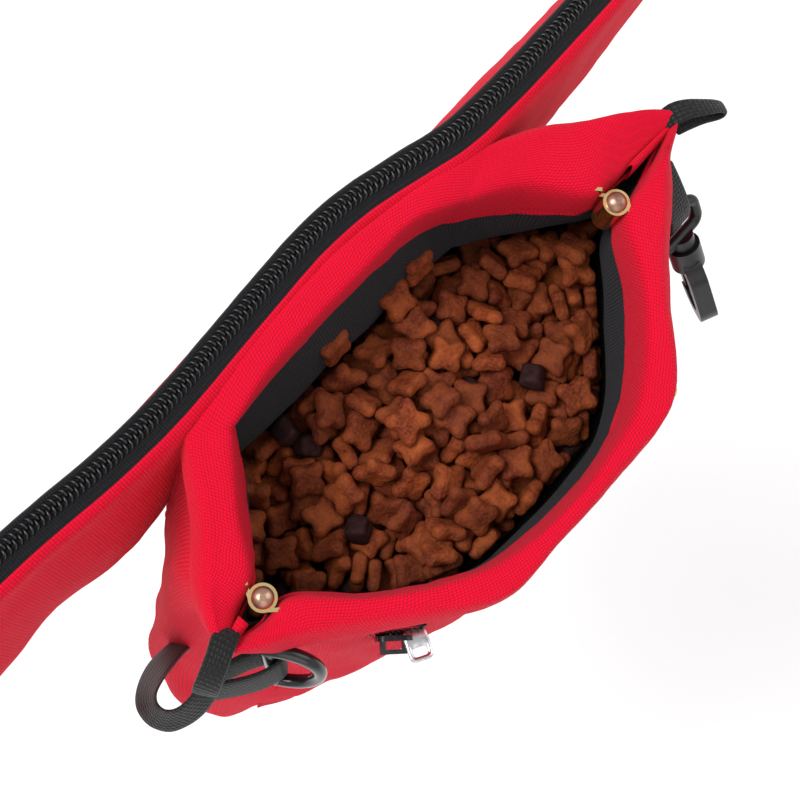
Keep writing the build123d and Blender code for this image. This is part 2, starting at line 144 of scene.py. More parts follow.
def place(points):
    """Points given as (x, y, depth) from the middle of the mouth, in the object's frame."""
    points = np.asarray(points, float)
    return np.stack([points[..., 0], points[..., 1] + MOUTH_Y, RIM_Z - points[..., 2]], axis=-1)


def quads(rows, columns, first=0):
    """The faces between rings of points: rows rings, each of that many columns and closed on itself."""
    faces = []
    for r in range(rows - 1):
        for c in range(columns):
            after = (c + 1) % columns
            here = first + r * columns
            faces.append((here + c, here + after, here + columns + after, here + columns + c))
    return faces


def circle(count):
    """The angles of count equal steps round a full turn."""
    return [FULL_TURN * step / count for step in range(count)]


def mesh_piece(name, vertices, faces, body, material, corner_uv=None):
    """A smooth mesh made from millimetres, riding on a body. corner_uv lays out each face's corners."""
    data = bpy.data.meshes.new(name)
    data.from_pydata((np.asarray(vertices, float) * MM).tolist(), [], [list(face) for face in faces])
    if corner_uv is not None:
        layer = data.uv_layers.new(name="fabric")
        layer.data.foreach_set("uv", np.asarray(corner_uv, float).ravel())
    data.polygons.foreach_set("use_smooth", [True] * len(data.polygons))
    data.update()
    piece = bpy.data.objects.new(name, data)
    bpy.context.scene.collection.objects.link(piece)
    data.materials.append(material)
    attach(piece, body)
    return piece


def grid_piece(name, grid, body, material, closed=False, flip=False, mirror=None, slant=0.0, ends=False):
    """A mesh over a grid of points, with a fabric layout measured along its rows and columns.

    mirror is the row where the slant of the weave turns round. ends closes the first and last rings.
    """
    rows, columns = grid.shape[:2]
    steps = columns if closed else columns - 1
    wrapped = np.concatenate([grid, grid[:, :1]], axis=1) if closed else grid
    along = np.linalg.norm(np.diff(wrapped, axis=1), axis=2)
    along = np.concatenate([np.zeros((rows, 1)), np.cumsum(along, axis=1)], axis=1) * MM
    along = np.repeat(along.mean(axis=0, keepdims=True), rows, axis=0)
    across = np.linalg.norm(np.diff(wrapped, axis=0), axis=2)
    across = np.concatenate([np.zeros((1, wrapped.shape[1])), np.cumsum(across, axis=0)], axis=0) * MM
    if mirror is not None:
        along = along + slant * np.abs(across - across[mirror:mirror + 1])
    faces, corner_uv = [], []
    for r in range(rows - 1):
        for c in range(steps):
            corners = [(r, c), (r, c + 1), (r + 1, c + 1), (r + 1, c)]
            if flip:
                corners.reverse()
            faces.append([i * columns + j % columns for i, j in corners])
            corner_uv += [(along[i, j], across[i, j]) for i, j in corners]
    if ends:
        last = (rows - 1) * columns
        faces += [list(range(columns))[::-1], list(range(last, last + columns))]
        corner_uv += [(END_LAYOUT * i, 0) for i in range(2 * columns)]
    return mesh_piece(name, grid.reshape(-1, 3), faces, body, material, corner_uv)


def thicken(piece, thickness, offset=-1.0):
    """Gives a fabric piece its thickness."""
    solid = piece.modifiers.new("thickness", "SOLIDIFY")
    solid.thickness = thickness * MM
    solid.offset = offset


def smoothed(piece):
    """Rounds a piece with one level of subdivision."""
    smooth = piece.modifiers.new("smooth", "SUBSURF")
    smooth.levels = smooth.render_levels = 1


def folds(piece):
    """Gives the piece its own copy of its mesh."""
    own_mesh(piece)
    return piece


def ribbon(name, path, widths, width, thickness, body, material, per_span=6, taper=None):
    """A strap of that width and thickness along a path.

    widths gives the direction of its width at each point, and taper scales the width there.
    """
    line = spread(path, per_span)
    wide = spread(widths, per_span)
    wide /= np.linalg.norm(wide, axis=1, keepdims=True)
    run = np.gradient(line, axis=0)
    run /= np.linalg.norm(run, axis=1, keepdims=True)
    wide -= run * np.sum(wide * run, axis=1, keepdims=True)
    wide /= np.linalg.norm(wide, axis=1, keepdims=True)
    up = np.cross(run, wide)
    scale = spread([(t, 0) for t in taper or [1] * len(path)], per_span)[:, :1]
    half, deep = width / 2, thickness / 2
    flat, crown = half - STRAP_EDGE, deep * STRAP_CROWN
    profile = [(-flat, deep), (-half / 3, crown), (half / 3, crown), (flat, deep), (half, 0),
               (flat, -deep), (half / 3, -crown), (-half / 3, -crown), (-flat, -deep), (-half, 0)]
    grid = np.array([line + wide * a * scale + up * b for a, b in profile])
    grid = np.swapaxes(grid, 0, 1)
    piece = grid_piece(name, grid, body, material, closed=True, ends=True)
    smoothed(piece)
    return piece


# ---- materials

def add(tree, kind, values=None, **settings):
    """A node with its settings, its input values and links by input name or index."""
    made = tree.nodes.new(kind)
    for key, value in settings.items():
        setattr(made, key, value)
    for key, value in (values or {}).items():
        if isinstance(value, bpy.types.NodeSocket):
            tree.links.new(value, made.inputs[key])
        else:
            made.inputs[key].default_value = value
    return made


def maths(tree, operation, a, b=None):
    """The output of one Math node."""
    values = {0: a} if b is None else {0: a, 1: b}
    return add(tree, "ShaderNodeMath", values, operation=operation).outputs[0]


def start(name, **sockets):
    """A material with a Principled shader, its constants set on the shader."""
    material = bpy.data.materials.new(name)
    material.use_nodes = True
    tree = material.node_tree
    tree.nodes.clear()
    shader = add(tree, "ShaderNodeBsdfPrincipled")
    for key, value in sockets.items():
        shader.inputs[key.replace("_", " ")].default_value = value
    output = add(tree, "ShaderNodeOutputMaterial")
    tree.links.new(shader.outputs[0], output.inputs[0])
    return material, tree, shader


def grain(tree, scale, detail=3.0, rough=0.6):
    """A noise texture's value."""
    where = add(tree, "ShaderNodeTexCoord").outputs["Object"]
    values = {"Vector": where, "Scale": scale, "Detail": detail, "Roughness": rough}
    return add(tree, "ShaderNodeTexNoise", values).outputs["Fac"]


def mixed(tree, share, first, second):
    """A colour between two colours."""
    return add(tree, "ShaderNodeMix", {0: share, 6: first, 7: second}, data_type="RGBA").outputs[2]


def times(tree, a, b):
    """The product of two values."""
    return maths(tree, "MULTIPLY", a, b)


def paint(tree, shader, colour):
    """Links a colour to the shader."""
    tree.links.new(colour, shader.inputs["Base Color"])


def gloss(tree, shader, value, low, high):
    """Links a value, spread over low..high, to the shader's roughness."""
    made = add(tree, "ShaderNodeMapRange", {"Value": value, "To Min": low, "To Max": high})
    tree.links.new(made.outputs[0], shader.inputs["Roughness"])


def relief(tree, shader, strength, distance, height):
    """Links a bump of that distance, in millimetres, to the shader."""
    values = {"Strength": strength, "Distance": distance * MM, "Height": height}
    tree.links.new(add(tree, "ShaderNodeBump", values).outputs[0], shader.inputs["Normal"])


def ramp(tree, value, low, high):
    """The value spread from low..high to 0..1."""
    made = add(tree, "ShaderNodeMapRange", {"Value": value, "From Min": low, "From Max": high})
    return made.outputs["Result"]


def weave(tree, pitch_along, pitch_across):
    """A plain weave on the fabric layout: (height, parity), both from 0 to 1."""
    uv = add(tree, "ShaderNodeTexCoord").outputs["UV"]
    wobble = grain(tree, 260.0, 2.0)
    parts = add(tree, "ShaderNodeSeparateXYZ", {0: uv})
    shift = times(tree, maths(tree, "SUBTRACT", wobble, 0.5), 0.5)
    x = maths(tree, "ADD", maths(tree, "DIVIDE", parts.outputs[0], pitch_along * MM), shift)
    y = maths(tree, "ADD", maths(tree, "DIVIDE", parts.outputs[1], pitch_across * MM), shift)
    waves = [maths(tree, "ABSOLUTE", maths(tree, "SINE", times(tree, value, math.pi))) for value in (x, y)]
    total = maths(tree, "ADD", maths(tree, "FLOOR", x), maths(tree, "FLOOR", y))
    parity = maths(tree, "FLOORED_MODULO", total, 2.0)
    return maths(tree, "SQRT", times(tree, *waves)), parity


def raised(tree, height, parity, share):
    """A weave's height, with every other thread lower by share."""
    return times(tree, height, maths(tree, "ADD", 1 - share, times(tree, parity, share)))


def cloth(name, deep, light, glow, pitch, bump, sheen):
    """Woven fabric: painted shade in the gaps between threads, painted light on the raised threads, and a
    slow random variation in tone.
    """
    material, tree, shader = start(name, Sheen_Weight=sheen, Sheen_Roughness=0.45, Sheen_Tint=glow,
                                   Specular_IOR_Level=0.16)
    top = raised(tree, *weave(tree, *pitch), 0.28)
    slow = ramp(tree, grain(tree, 35.0, 4.0), 0.3, 0.7)
    # The colour follows the weave's height: deep is painted shade in the gaps between threads, light is
    # painted light on the raised threads.
    colour = mixed(tree, ramp(tree, top, 0.15, 0.8), deep, light)
    # The slow mix towards deep is the fabric's own random unevenness of tone.
    paint(tree, shader, mixed(tree, times(tree, slow, 0.18), colour, deep))
    tree.links.new(ramp(tree, top, -1.5, 1.0), shader.inputs["Roughness"])
    fuzz = times(tree, grain(tree, 2600.0, 2.0), 0.25)
    relief(tree, shader, bump, 0.3, maths(tree, "ADD", top, fuzz))
    return material


def webbing_material(name, dark, light):
    """Ribbed webbing: rows of ribs with a twill between them, painted shade between the ribs and painted
    light on their tops.
    """
    material, tree, shader = start(name, Sheen_Weight=0.1, Sheen_Roughness=0.5, Specular_IOR_Level=0.3,
                                   Roughness=0.55)
    top = raised(tree, *weave(tree, 0.8, 1.2), 0.4)
    # Colour by rib height: dark is painted shade between the ribs, light is painted light on their tops; the
    # fine grain mix towards dark is random tone.
    colour = mixed(tree, ramp(tree, top, 0.2, 0.95), dark, light)
    paint(tree, shader, mixed(tree, times(tree, grain(tree, 700.0), 0.3), colour, dark))
    relief(tree, shader, 0.8, 0.35, top)
    return material


def tape_material(name, dark, light):
    """The knitted tape of a zip: fine rows and a napped surface, darker where the knit lies low: painted
    shade in the rows' hollows, mixed with random tone from the nap.
    """
    material, tree, shader = start(name, Sheen_Weight=0.08, Sheen_Roughness=0.5, Roughness=0.8,
                                   Specular_IOR_Level=0.15)
    height, _ = weave(tree, 0.7, 0.55)
    rough = maths(tree, "ADD", height, grain(tree, 1500.0, 3.0))
    # The colour follows the knit's height and nap noise: dark is painted shade in the rows' hollows together
    # with random dark nap, light is painted light on the raised rows.
    paint(tree, shader, mixed(tree, ramp(tree, rough, 0.5, 1.7), dark, light))
    relief(tree, shader, 0.7, 0.25, rough)
    return material


def plastic(name, colour, rough, size=900.0, bump=0.15, coat=0.0):
    """Moulded plastic with a faint texture and uneven gloss."""
    material, tree, shader = start(name, Specular_IOR_Level=0.5, Coat_Weight=coat, Coat_Roughness=0.15)
    speck = grain(tree, size, 3.0)
    paler = tuple(min(1.0, 1.9 * c + 0.004) for c in colour[:3]) + (1,)
    paint(tree, shader, mixed(tree, ramp(tree, speck, 0.35, 0.75), colour, paler))
    gloss(tree, shader, grain(tree, 180.0), rough - 0.08, rough + 0.12)
    relief(tree, shader, bump, 0.1, speck)
    return material


def metal(name, colour, dull, rough=0.22):
    """Plated metal with fine scratches and duller patches."""
    material, tree, shader = start(name, Metallic=1.0)
    patch = ramp(tree, grain(tree, 300.0, 4.0), 0.35, 0.7)
    paint(tree, shader, mixed(tree, patch, colour, dull))
    gloss(tree, shader, patch, rough - 0.06, rough + 0.16)
    relief(tree, shader, 0.12, 0.05, grain(tree, 2500.0))
    return material


def biscuit(name, dark, middle, light, size=750.0):
    """Baked dough: grains, pores, and a different shade on each piece."""
    material, tree, shader = start(name, Roughness=0.72, Specular_IOR_Level=0.3)
    grains = grain(tree, size, 6.0, 0.75)
    patches = grain(tree, 130.0, 3.0)
    each = add(tree, "ShaderNodeNewGeometry").outputs["Random Per Island"]
    colour = mixed(tree, ramp(tree, grains, 0.32, 0.68), dark, middle)
    colour = mixed(tree, times(tree, ramp(tree, patches, 0.4, 0.75), 0.6), colour, light)
    paint(tree, shader, mixed(tree, times(tree, each, 0.45), colour, dark))
    where = add(tree, "ShaderNodeTexCoord").outputs["Object"]
    pores = add(tree, "ShaderNodeTexVoronoi", {"Vector": where, "Scale": size * 0.9}).outputs["Distance"]
    relief(tree, shader, 0.9, 0.45, maths(tree, "ADD", times(tree, grains, 0.9), times(tree, pores, 0.5)))
    return material


def floor_material():
    """A matt white studio floor with the faintest mottle."""
    material, tree, shader = start("studio_floor", Roughness=0.9, Specular_IOR_Level=0.1)
    paint(tree, shader, mixed(tree, grain(tree, 3.0), (0.93, 0.93, 0.93, 1), (0.97, 0.97, 0.97, 1)))
    return material


# For each fabric the first colour is painted shade in the weave's gaps, also used for its random darker tone;
# the second is painted light on the raised threads.
RED = cloth("red_polyester", (0.50, 0.0, 0.014, 1), (0.92, 0.002, 0.036, 1), (1.0, 0.35, 0.4, 1),
            pitch=(0.8, 0.7), bump=0.75, sheen=0.12)
BLACK = cloth("black_nylon", (0.002, 0.002, 0.003, 1), (0.042, 0.045, 0.050, 1), (0.6, 0.65, 0.7, 1),
              pitch=(0.75, 0.75), bump=0.9, sheen=0.06)
# The webbing's first colour is painted shade between its ribs, also its random darker tone; the second is
# painted light on the ribs' tops.
WEBBING = webbing_material("black_webbing", (0.001, 0.001, 0.001, 1), (0.011, 0.011, 0.012, 1))
# The tape's first colour is painted shade in the knit's hollows together with its random darker nap; the
# second is painted light on the raised rows.
TAPE = tape_material("zip_tape", (0.001, 0.001, 0.002, 1), (0.016, 0.016, 0.018, 1))
COIL = plastic("zip_coil", (0.006, 0.006, 0.007, 1), rough=0.22, size=500.0, bump=0.05)
PLASTIC = plastic("black_acetal", (0.004, 0.004, 0.005, 1), rough=0.34)
GLOSSY = plastic("glossy_ring", (0.006, 0.006, 0.007, 1), rough=0.16, size=400.0, bump=0.04, coat=0.3)
BRASS = metal("brassed_steel", (0.91, 0.70, 0.34, 1), (0.50, 0.31, 0.13, 1))
COPPER = metal("rivet_head", (0.62, 0.38, 0.27, 1), (0.30, 0.15, 0.11, 1), rough=0.3)
SILVER = metal("plated_zinc", (0.82, 0.83, 0.85, 1), (0.45, 0.46, 0.48, 1), rough=0.25)
GUNMETAL = metal("gunmetal", (0.10, 0.10, 0.11, 1), (0.03, 0.03, 0.035, 1), rough=0.25)
TREAT = biscuit("treat_biscuit", (0.05, 0.006, 0.002, 1), (0.34, 0.060, 0.010, 1), (0.58, 0.14, 0.030, 1),
                size=1100.0)
DARK_TREAT = biscuit("dark_treat", (0.010, 0.002, 0.002, 1), (0.040, 0.009, 0.008, 1), (0.08, 0.02, 0.02, 1))


# ---- the mouth and the bag

# Round the mouth: for each station the hem inside the mouth, the shoulder over the frame strip, the
# ridge, the widest line outside and the outer hem. Each is (x, y, depth).
MOUTH = {
    "back_left": ((-36.2, 30.4, 14), (-38.4, 28.6, 1.3), (-45.6, 34.2, 1.3), (-47.4, 36.6, 8), (-47, 37, 16)),
    "back_1": ((-20, 31.6, 13), (-20, 31.8, 0.7), (-21, 37.4, 0), (-21, 39.9, 5), (-21, 38.4, 16)),
    "back_2": ((6, 31.8, 11), (6, 32, 0.7), (5, 38, 0), (5, 40.4, 5), (5, 38.4, 16)),
    "back_3": ((24, 30.6, 12), (24, 31.4, 0.7), (26, 36, 0), (26, 38.6, 5), (26, 38, 16)),
    "back_right": ((33.4, 28, 15), (36, 26.6, 1.3), (48.4, 31.4, 1.2), (50, 34.2, 8), (48, 36.6, 16)),
    "right_back": ((46.6, 18.4, 16), (48.2, 19.4, 0.5), (60.5, 24.3, 0), (62.8, 27.4, 8), (60, 31, 16)),
    "right_pin_back": ((57.2, 6.4, 14), (57.8, 6.6, 1.0), (68.4, 18.6, 0), (70.6, 21, 7), (68, 24.5, 16)),
    "right_slit_back": ((64.6, 4.4, 12), (66, 5.4, 3), (77.5, 13, 0), (79, 14.6, 7), (76.6, 16, 15)),
    "right_ear": ((80.5, 3.6, 8), (82.5, 4, 3), (86.2, 4.8, 0.4), (86.6, 4.6, 6), (85.5, 4.4, 13)),
    "right_slit_front": ((68.6, -0.4, 10), (69.8, -0.4, 3), (75.6, -0.4, 0), (78.6, -2.2, 6), (76, -1.6, 15)),
    "right_pin_front": ((58.6, -2.8, 12), (59.3, -3.2, 1.0), (66.2, -7.6, 0), (70.8, -9.4, 6),
                        (68, -8.4, 16)),
    "right_front": ((48.2, -16.6, 14), (49, -17.2, 0.7), (52.4, -18.6, 0), (55.6, -21.2, 6), (53, -20, 16)),
    "front_right": ((30, -31.2, 15), (31, -32, 0.8), (33.6, -37.8, 0), (35.4, -39.2, 6), (34.6, -38.6, 16)),
    "front_1": ((12, -36, 14), (12, -36.5, 0.7), (12, -39.2, 0), (12.4, -41.4, 6), (12, -40.2, 16)),
    "front_2": ((-9, -35.2, 14), (-9, -36.2, 0.7), (-8, -39.2, 0), (-8, -41.2, 6), (-8, -40, 16)),
    "front_left": ((-24.5, -31.2, 14), (-25.2, -31.6, 0.9), (-24.6, -38.4, 0.2), (-26, -40.2, 6),
                   (-26, -38.6, 16)),
    "left_front": ((-42.6, -18.4, 12), (-43.2, -19.2, 0.7), (-44.8, -22.4, 0), (-48, -25.4, 7),
                   (-46, -23.6, 16)),
    "left_pin_front": ((-55.6, -4.9, 11), (-56.3, -5.6, 1.0), (-59.4, -11.4, 0), (-61.6, -14.4, 7),
                       (-60, -13.4, 15)),
    "left_slit_front": ((-63.8, -4.4, 9), (-64.8, -5, 3), (-66.4, -8, 0), (-68, -10, 7), (-67, -9.4, 15)),
    "left_ear": ((-69.6, -2.6, 8), (-70.8, -2.6, 3), (-73, -2.6, 0.3), (-74, -2.4, 6), (-73, -2.5, 13)),
    "left_slit_back": ((-65.8, 0.2, 11), (-66.8, 1.6, 3), (-69.4, 5.6, 0), (-72, 7.6, 7), (-71, 7.2, 15)),
    "left_pin_back": ((-57.8, 3.9, 12), (-58.6, 4.3, 1.0), (-63.8, 11.2, 0), (-67, 14.2, 7), (-65.6, 14, 16)),
    "left_back": ((-47, 16.4, 14), (-50, 15.8, 0.7), (-55.2, 20.2, 0), (-58.4, 22.8, 7), (-57, 23.8, 16)),
}
STATIONS = list(MOUTH)
CORNERS = [STATIONS.index(name) for name in ("back_left", "back_right")]

# Below the outer hem: for each station, (x, y) at each depth.
BAG_DEPTHS = (28, 42, 62, 92, 124, 144)
BAG = {
    "back_left": ((-50, 37.6), (-52, 37.7), (-54, 37.7), (-57, 37.8), (-60, 37.7), (-60, 35.5)),
    "back_1": ((-22, 37.9), (-22, 38), (-24, 38), (-26, 38), (-28, 38), (-28, 36)),
    "back_2": ((4, 37.9), (3, 38), (2, 38), (1, 38), (0, 38), (0, 36)),
    "back_3": ((28, 37.9), (28, 38), (29, 38), (30, 38), (30, 38), (30, 36)),
    "back_right": ((51, 37.4), (53, 37.6), (56, 37.6), (63, 37.8), (68, 37.7), (67, 35.5)),
    "right_back": ((64, 30), (67, 29), (71, 29.5), (78, 30), (84, 29), (82, 27)),
    "right_pin_back": ((71, 22.5), (73, 22), (76, 23), (83, 24), (89, 22), (87, 20)),
    "right_slit_back": ((76, 14.5), (77, 14), (80, 14.5), (86, 14.5), (92, 13), (91, 12)),
    "right_ear": ((79, 7), (79, 7), (80, 6.5), (85, 4), (92, 2), (91, 1)),
    "right_slit_front": ((74, -2), (74, -2.6), (74, -4.4), (78, -7), (88, -7), (88, -6)),
    "right_pin_front": ((68, -8.4), (69, -9), (69, -11), (72, -14.5), (81, -15), (81, -13)),
    "right_front": ((56, -18), (58, -19), (60, -21), (63, -25), (72, -24), (73, -21)),
    "front_right": ((36, -37.6), (38, -37.2), (40, -37.4), (43, -38), (52, -34.5), (54, -30)),
    "front_1": ((13, -39.4), (13, -39.4), (14, -40), (15, -40.5), (17, -38), (18, -32)),
    "front_2": ((-9, -39.4), (-9, -39.4), (-10, -39.8), (-11, -40), (-14, -37.5), (-15, -32)),
    "front_left": ((-27, -37.4), (-29, -37), (-31, -37.2), (-35, -38), (-45, -35.6), (-50, -30)),
    "left_front": ((-46.5, -22.6), (-48, -22.6), (-51, -25), (-57, -28), (-72, -26.6), (-72, -22)),
    "left_pin_front": ((-59, -13), (-61, -12.5), (-64, -14.5), (-70, -19), (-83, -21.4), (-81, -17.6)),
    "left_slit_front": ((-66.4, -7), (-69, -5.6), (-73, -7), (-82, -9.5), (-92.6, -14.4), (-90, -12)),
    "left_ear": ((-70.4, 0.4), (-73, 2.4), (-79, 3.4), (-90, 3), (-96.6, -5), (-94, -4.6)),
    "left_slit_back": ((-73, 9), (-76, 11), (-81, 12.4), (-88.6, 12.2), (-91.6, 9.6), (-90, 8)),
    "left_pin_back": ((-69, 18), (-72.4, 19), (-77, 19.8), (-82.4, 20.2), (-81.6, 20.4), (-80.6, 18)),
    "left_back": ((-60, 26), (-63.6, 26.6), (-67, 26.2), (-71.4, 25.8), (-71.6, 25.8), (-71, 24)),
}

# The lining below the inner hem: for each station, (x, y) at each depth. The heap of treats fills it.
LINING_DEPTHS = (30, 46)
LINING = {
    "back_left": ((-39, 26.8), (-43, 30)), "back_1": ((-20, 26), (-20, 30)), "back_2": ((6, 25.6), (6, 30)),
    "back_3": ((24, 25), (26, 30)), "back_right": ((34.6, 24), (42, 29)), "right_back": ((46, 17), (54, 21)),
    "right_pin_back": ((58, 8.5), (64, 15)), "right_slit_back": ((64, 4.4), (70, 9)),
    "right_ear": ((70, 1.6), (74, 4)), "right_slit_front": ((66, -0.6), (71, -1)),
    "right_pin_front": ((60, -4), (64, -7)), "right_front": ((48.5, -16), (54, -17)),
    "front_right": ((28.5, -32), (35, -34)), "front_1": ((12, -35.4), (13, -37)),
    "front_2": ((-10, -34.8), (-10, -37)), "front_left": ((-24.6, -31.6), (-27, -34)),
    "left_front": ((-42.4, -18.4), (-46, -19.6)), "left_pin_front": ((-56.4, -8), (-59, -9)),
    "left_slit_front": ((-62, -4.6), (-66, -4)), "left_ear": ((-66, -2.2), (-70, 1)),
    "left_slit_back": ((-64, 1), (-72, 8)), "left_pin_back": ((-59.6, 5.6), (-70, 16)),
    "left_back": ((-47.4, 16.6), (-60, 24)),
}


def mouth_ring(index):
    """One line round the mouth: 0 the inner hem, 1 the shoulder, 2 the ridge, 3 the widest, 4 the outer."""
    return [MOUTH[name][index] for name in STATIONS]


def level_ring(table, depths, index):
    """One line round the bag or its lining."""
    return [(*table[name][index], depths[index]) for name in STATIONS]


def between(first, second, share, lift=0.0, out=0.0):
    """A line between two lines round the mouth, raised by lift and moved outwards by out."""
    first, second = np.asarray(first, float), np.asarray(second, float)
    made = first + share * (second - first)
    away = made[:, :2] / np.linalg.norm(made[:, :2], axis=1, keepdims=True)
    made[:, :2] += out * away
    made[:, 2] -= lift
    return made.tolist()


# The row of the rim's grid along its ridge, where the weave's slant turns round.
RIDGE_ROW = 22
WEAVE_SLANT = 0.55

# The middle of the bag's base, and how its rings shrink there: (share of the lowest ring, depth).
BASE_MIDDLE = (0, 2, 0)
BASE_RINGS = ((0.93, 145.6), (0.6, 145.9), (0.2, 146), (0.02, 146))

# The lining hangs this far inside the bag below the heap: (which of the bag's depths, depth there).
LINING_GAP = 7.5
LINING_RINGS = ((2, 62), (3, 92), (4, 124), (5, 142))


def make_rim():
    """The folded channel round the frame: from the turned hem inside, over the ridge, to the outer hem."""
    hem, shoulder, ridge, wide, low = (mouth_ring(i) for i in range(5))
    rings = [
        between(hem, hem, 0, lift=2.5, out=1.2),
        between(hem, hem, 0, lift=-0.3, out=0.5),
        hem,
        between(hem, shoulder, 0.5, out=-0.2),
        between(hem, shoulder, 0.9),
        between(shoulder, ridge, 0.22, lift=0.35),
        between(shoulder, ridge, 0.75, lift=0.15),
        ridge,
        between(ridge, wide, 0.35, lift=0.9, out=0.55),
        wide,
        between(wide, low, 0.6),
        low,
    ]
    grid = wrinkled(place(skin(rings, 3, 12, corners=CORNERS)), 0.42, 11.0)
    grid = wrinkled(grid, 0.14, 3.5)
    piece = grid_piece("rim_fabric", grid, "pack", RED, closed=True, mirror=RIDGE_ROW, slant=WEAVE_SLANT)
    thicken(piece, 0.5)
    names = [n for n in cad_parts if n.startswith("rim_")]
    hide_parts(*names)
    return folds(piece)


def make_bag():
    """The outer bag, from under the rim's outer hem to the base, and the base itself."""
    top = between(mouth_ring(4), mouth_ring(3), 0.35, out=-0.7)
    rings = [top, between(mouth_ring(4), mouth_ring(4), 0, out=-0.5)]
    rings += [level_ring(BAG, BAG_DEPTHS, i) for i in range(len(BAG_DEPTHS))]
    last = np.asarray(rings[-1])
    for share, depth in BASE_RINGS:
        ring = BASE_MIDDLE + (last - BASE_MIDDLE) * share
        ring[:, 2] = depth
        rings.append(ring.tolist())
    grid = place(skin(rings, 6, 11, corners=CORNERS))
    rows = grid.shape[0]
    fade = np.clip(np.linspace(-0.1, 2.2, rows), 0, 1) * np.clip(np.linspace(3.2, 0, rows), 0.1, 1)
    grid = wrinkled(grid, 2.4, 30.0, fade=fade)
    grid = wrinkled(grid, 2.6, 11.0, fade=fade, tall=5.0)
    grid = wrinkled(grid, 0.6, 7.0, fade=fade)
    piece = grid_piece("bag_fabric", grid, "pack", RED, closed=True)
    thicken(piece, 0.7)
    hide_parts("pouch_back_panel", "pouch_front_panel", "left_gusset", "right_gusset", "pouch_bottom")
    return folds(piece)


def lining_rings():
    """The lining's lines: behind the inner hem, then down to the heap and below it."""
    hem = mouth_ring(0)
    rings = [between(hem, hem, 0, lift=3.0, out=0.9), between(hem, hem, 0, lift=-0.5, out=0.55)]
    return rings + [level_ring(LINING, LINING_DEPTHS, i) for i in range(len(LINING_DEPTHS))]


def make_lining():
    """The black lining, with soft creases."""
    rings = lining_rings()
    for index, depth in LINING_RINGS:
        ring = level_ring(BAG, BAG_DEPTHS, index)
        ring = np.asarray(between(ring, ring, 0, out=-LINING_GAP))
        ring[:, 2] = depth
        rings.append(ring.tolist())
    grid = place(skin(rings, 6, 11, corners=CORNERS))
    rows = grid.shape[0]
    fade = np.clip(np.linspace(0, 8, rows), 0, 1)
    grid = wrinkled(grid, 0.6, 13.0, fade=fade)
    piece = grid_piece("lining_fabric", grid, "pack", BLACK, closed=True)
    thicken(piece, 0.4, offset=1.0)
    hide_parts("pouch_lining")
    return folds(piece)


# ---- the treats

TREATS = 250
DARK_TREATS = 12
LOBED_SHAPES = 6

# The depth that the heap rests at, and how far above and below it a piece may end up.
HEAP_FLOOR = 48.0
HEAP_TOP = 2.0
HEAP_SAG = 12.0

# The simulation runs this many times larger than life, for that many frames.
SIM_SCALE = 100.0
SIM_FRAMES = 110
TO_SIM = SIM_SCALE * MM

# A piece from top to bottom: (share of the outline, share of the half height).
PILLOW = ((0.0, 0.92), (0.3, 0.96), (0.58, 1.0), (0.8, 0.92), (0.93, 0.66), (1.0, 0.22),
          (1.0, -0.22), (0.93, -0.66), (0.8, -0.92), (0.58, -1.0), (0.3, -0.96), (0.0, -0.92))


def pillow(outline_radius, half_height, columns, seed, rough=0.35):
    """A baked piece: an outline given as a radius for each direction, puffed up, with an uneven surface."""
    vertices = []
    for reach, high in PILLOW:
        for angle in circle(columns):
            radius = reach * outline_radius(angle)
            vertices.append((radius * math.cos(angle), radius * math.sin(angle), high * half_height))
    vertices = np.array(vertices)
    shift = Vector((seed * 31.7, seed * 17.3, seed * 7.1))
    for i, point in enumerate(vertices):
        here = Vector(point)
        big = noise.noise(here / 4.5 + shift)
        small = noise.noise(here / 1.3 + shift)
        out = here.normalized() if here.length > 0 else Vector(UP)
        vertices[i] = np.array(here + out * (rough * 1.6 * big + rough * 0.55 * small))
    faces = [(a, d, c, b) for a, b, c, d in quads(len(PILLOW), columns)]
    return vertices, faces


def treat_shapes(rng):
    """Four-lobed treats in several sizes, and dark cubes."""
    shapes = []
    for seed in range(LOBED_SHAPES):
        size, lobe, turn = rng.uniform(4.25, 4.7), rng.uniform(0.19, 0.25), rng.uniform(-0.05, 0.05)

        def star(angle, size=size, lobe=lobe, turn=turn):
            lobes = lobe * math.cos(4 * angle) + turn * math.cos(3 * angle + 1)
            return size * (1 + lobes + 0.02 * math.cos(8 * angle))
        shapes.append(pillow(star, rng.uniform(1.7, 2.1), 40, seed))

    def square(angle):
        return 2.9 / max(abs(math.cos(angle)), abs(math.sin(angle))) ** 0.8
    shapes.append(pillow(square, 2.7, 24, 9, rough=0.5))
    return shapes


# Where the pieces start: the depth of the first layer, the height of a layer, the space between pieces
# in a row, and each row as (y, reach to either side).
DROP_DEPTH = -6.0
DROP_LAYER = 9.5
DROP_SPACING = 11.5
DROP_ROWS = ((-25, 24), (-14, 46), (-3, 46), (8, 46), (19, 24))


def drop_places(rng, count):
    """Starting places over the mouth, in layers, for count pieces."""
    places, depth = [], DROP_DEPTH
    while len(places) < count:
        for y, reach in DROP_ROWS:
            for x in np.arange(-reach, reach + 1, DROP_SPACING):
                places.append((x + rng.uniform(-2, 2), y + rng.uniform(-1.5, 1.5), depth))
        depth -= DROP_LAYER
    return places[:count]


def sim_world():
    """A rigid-body world with its own collection."""
    scene = bpy.context.scene
    bpy.ops.rigidbody.world_add()
    world = scene.rigidbody_world
    world.substeps_per_frame = 12
    world.solver_iterations = 20
    world.point_cache.frame_start = 1
    world.point_cache.frame_end = SIM_FRAMES
    world.collection = bpy.data.collections.new("sim")
    scene.collection.children.link(world.collection)
    return world


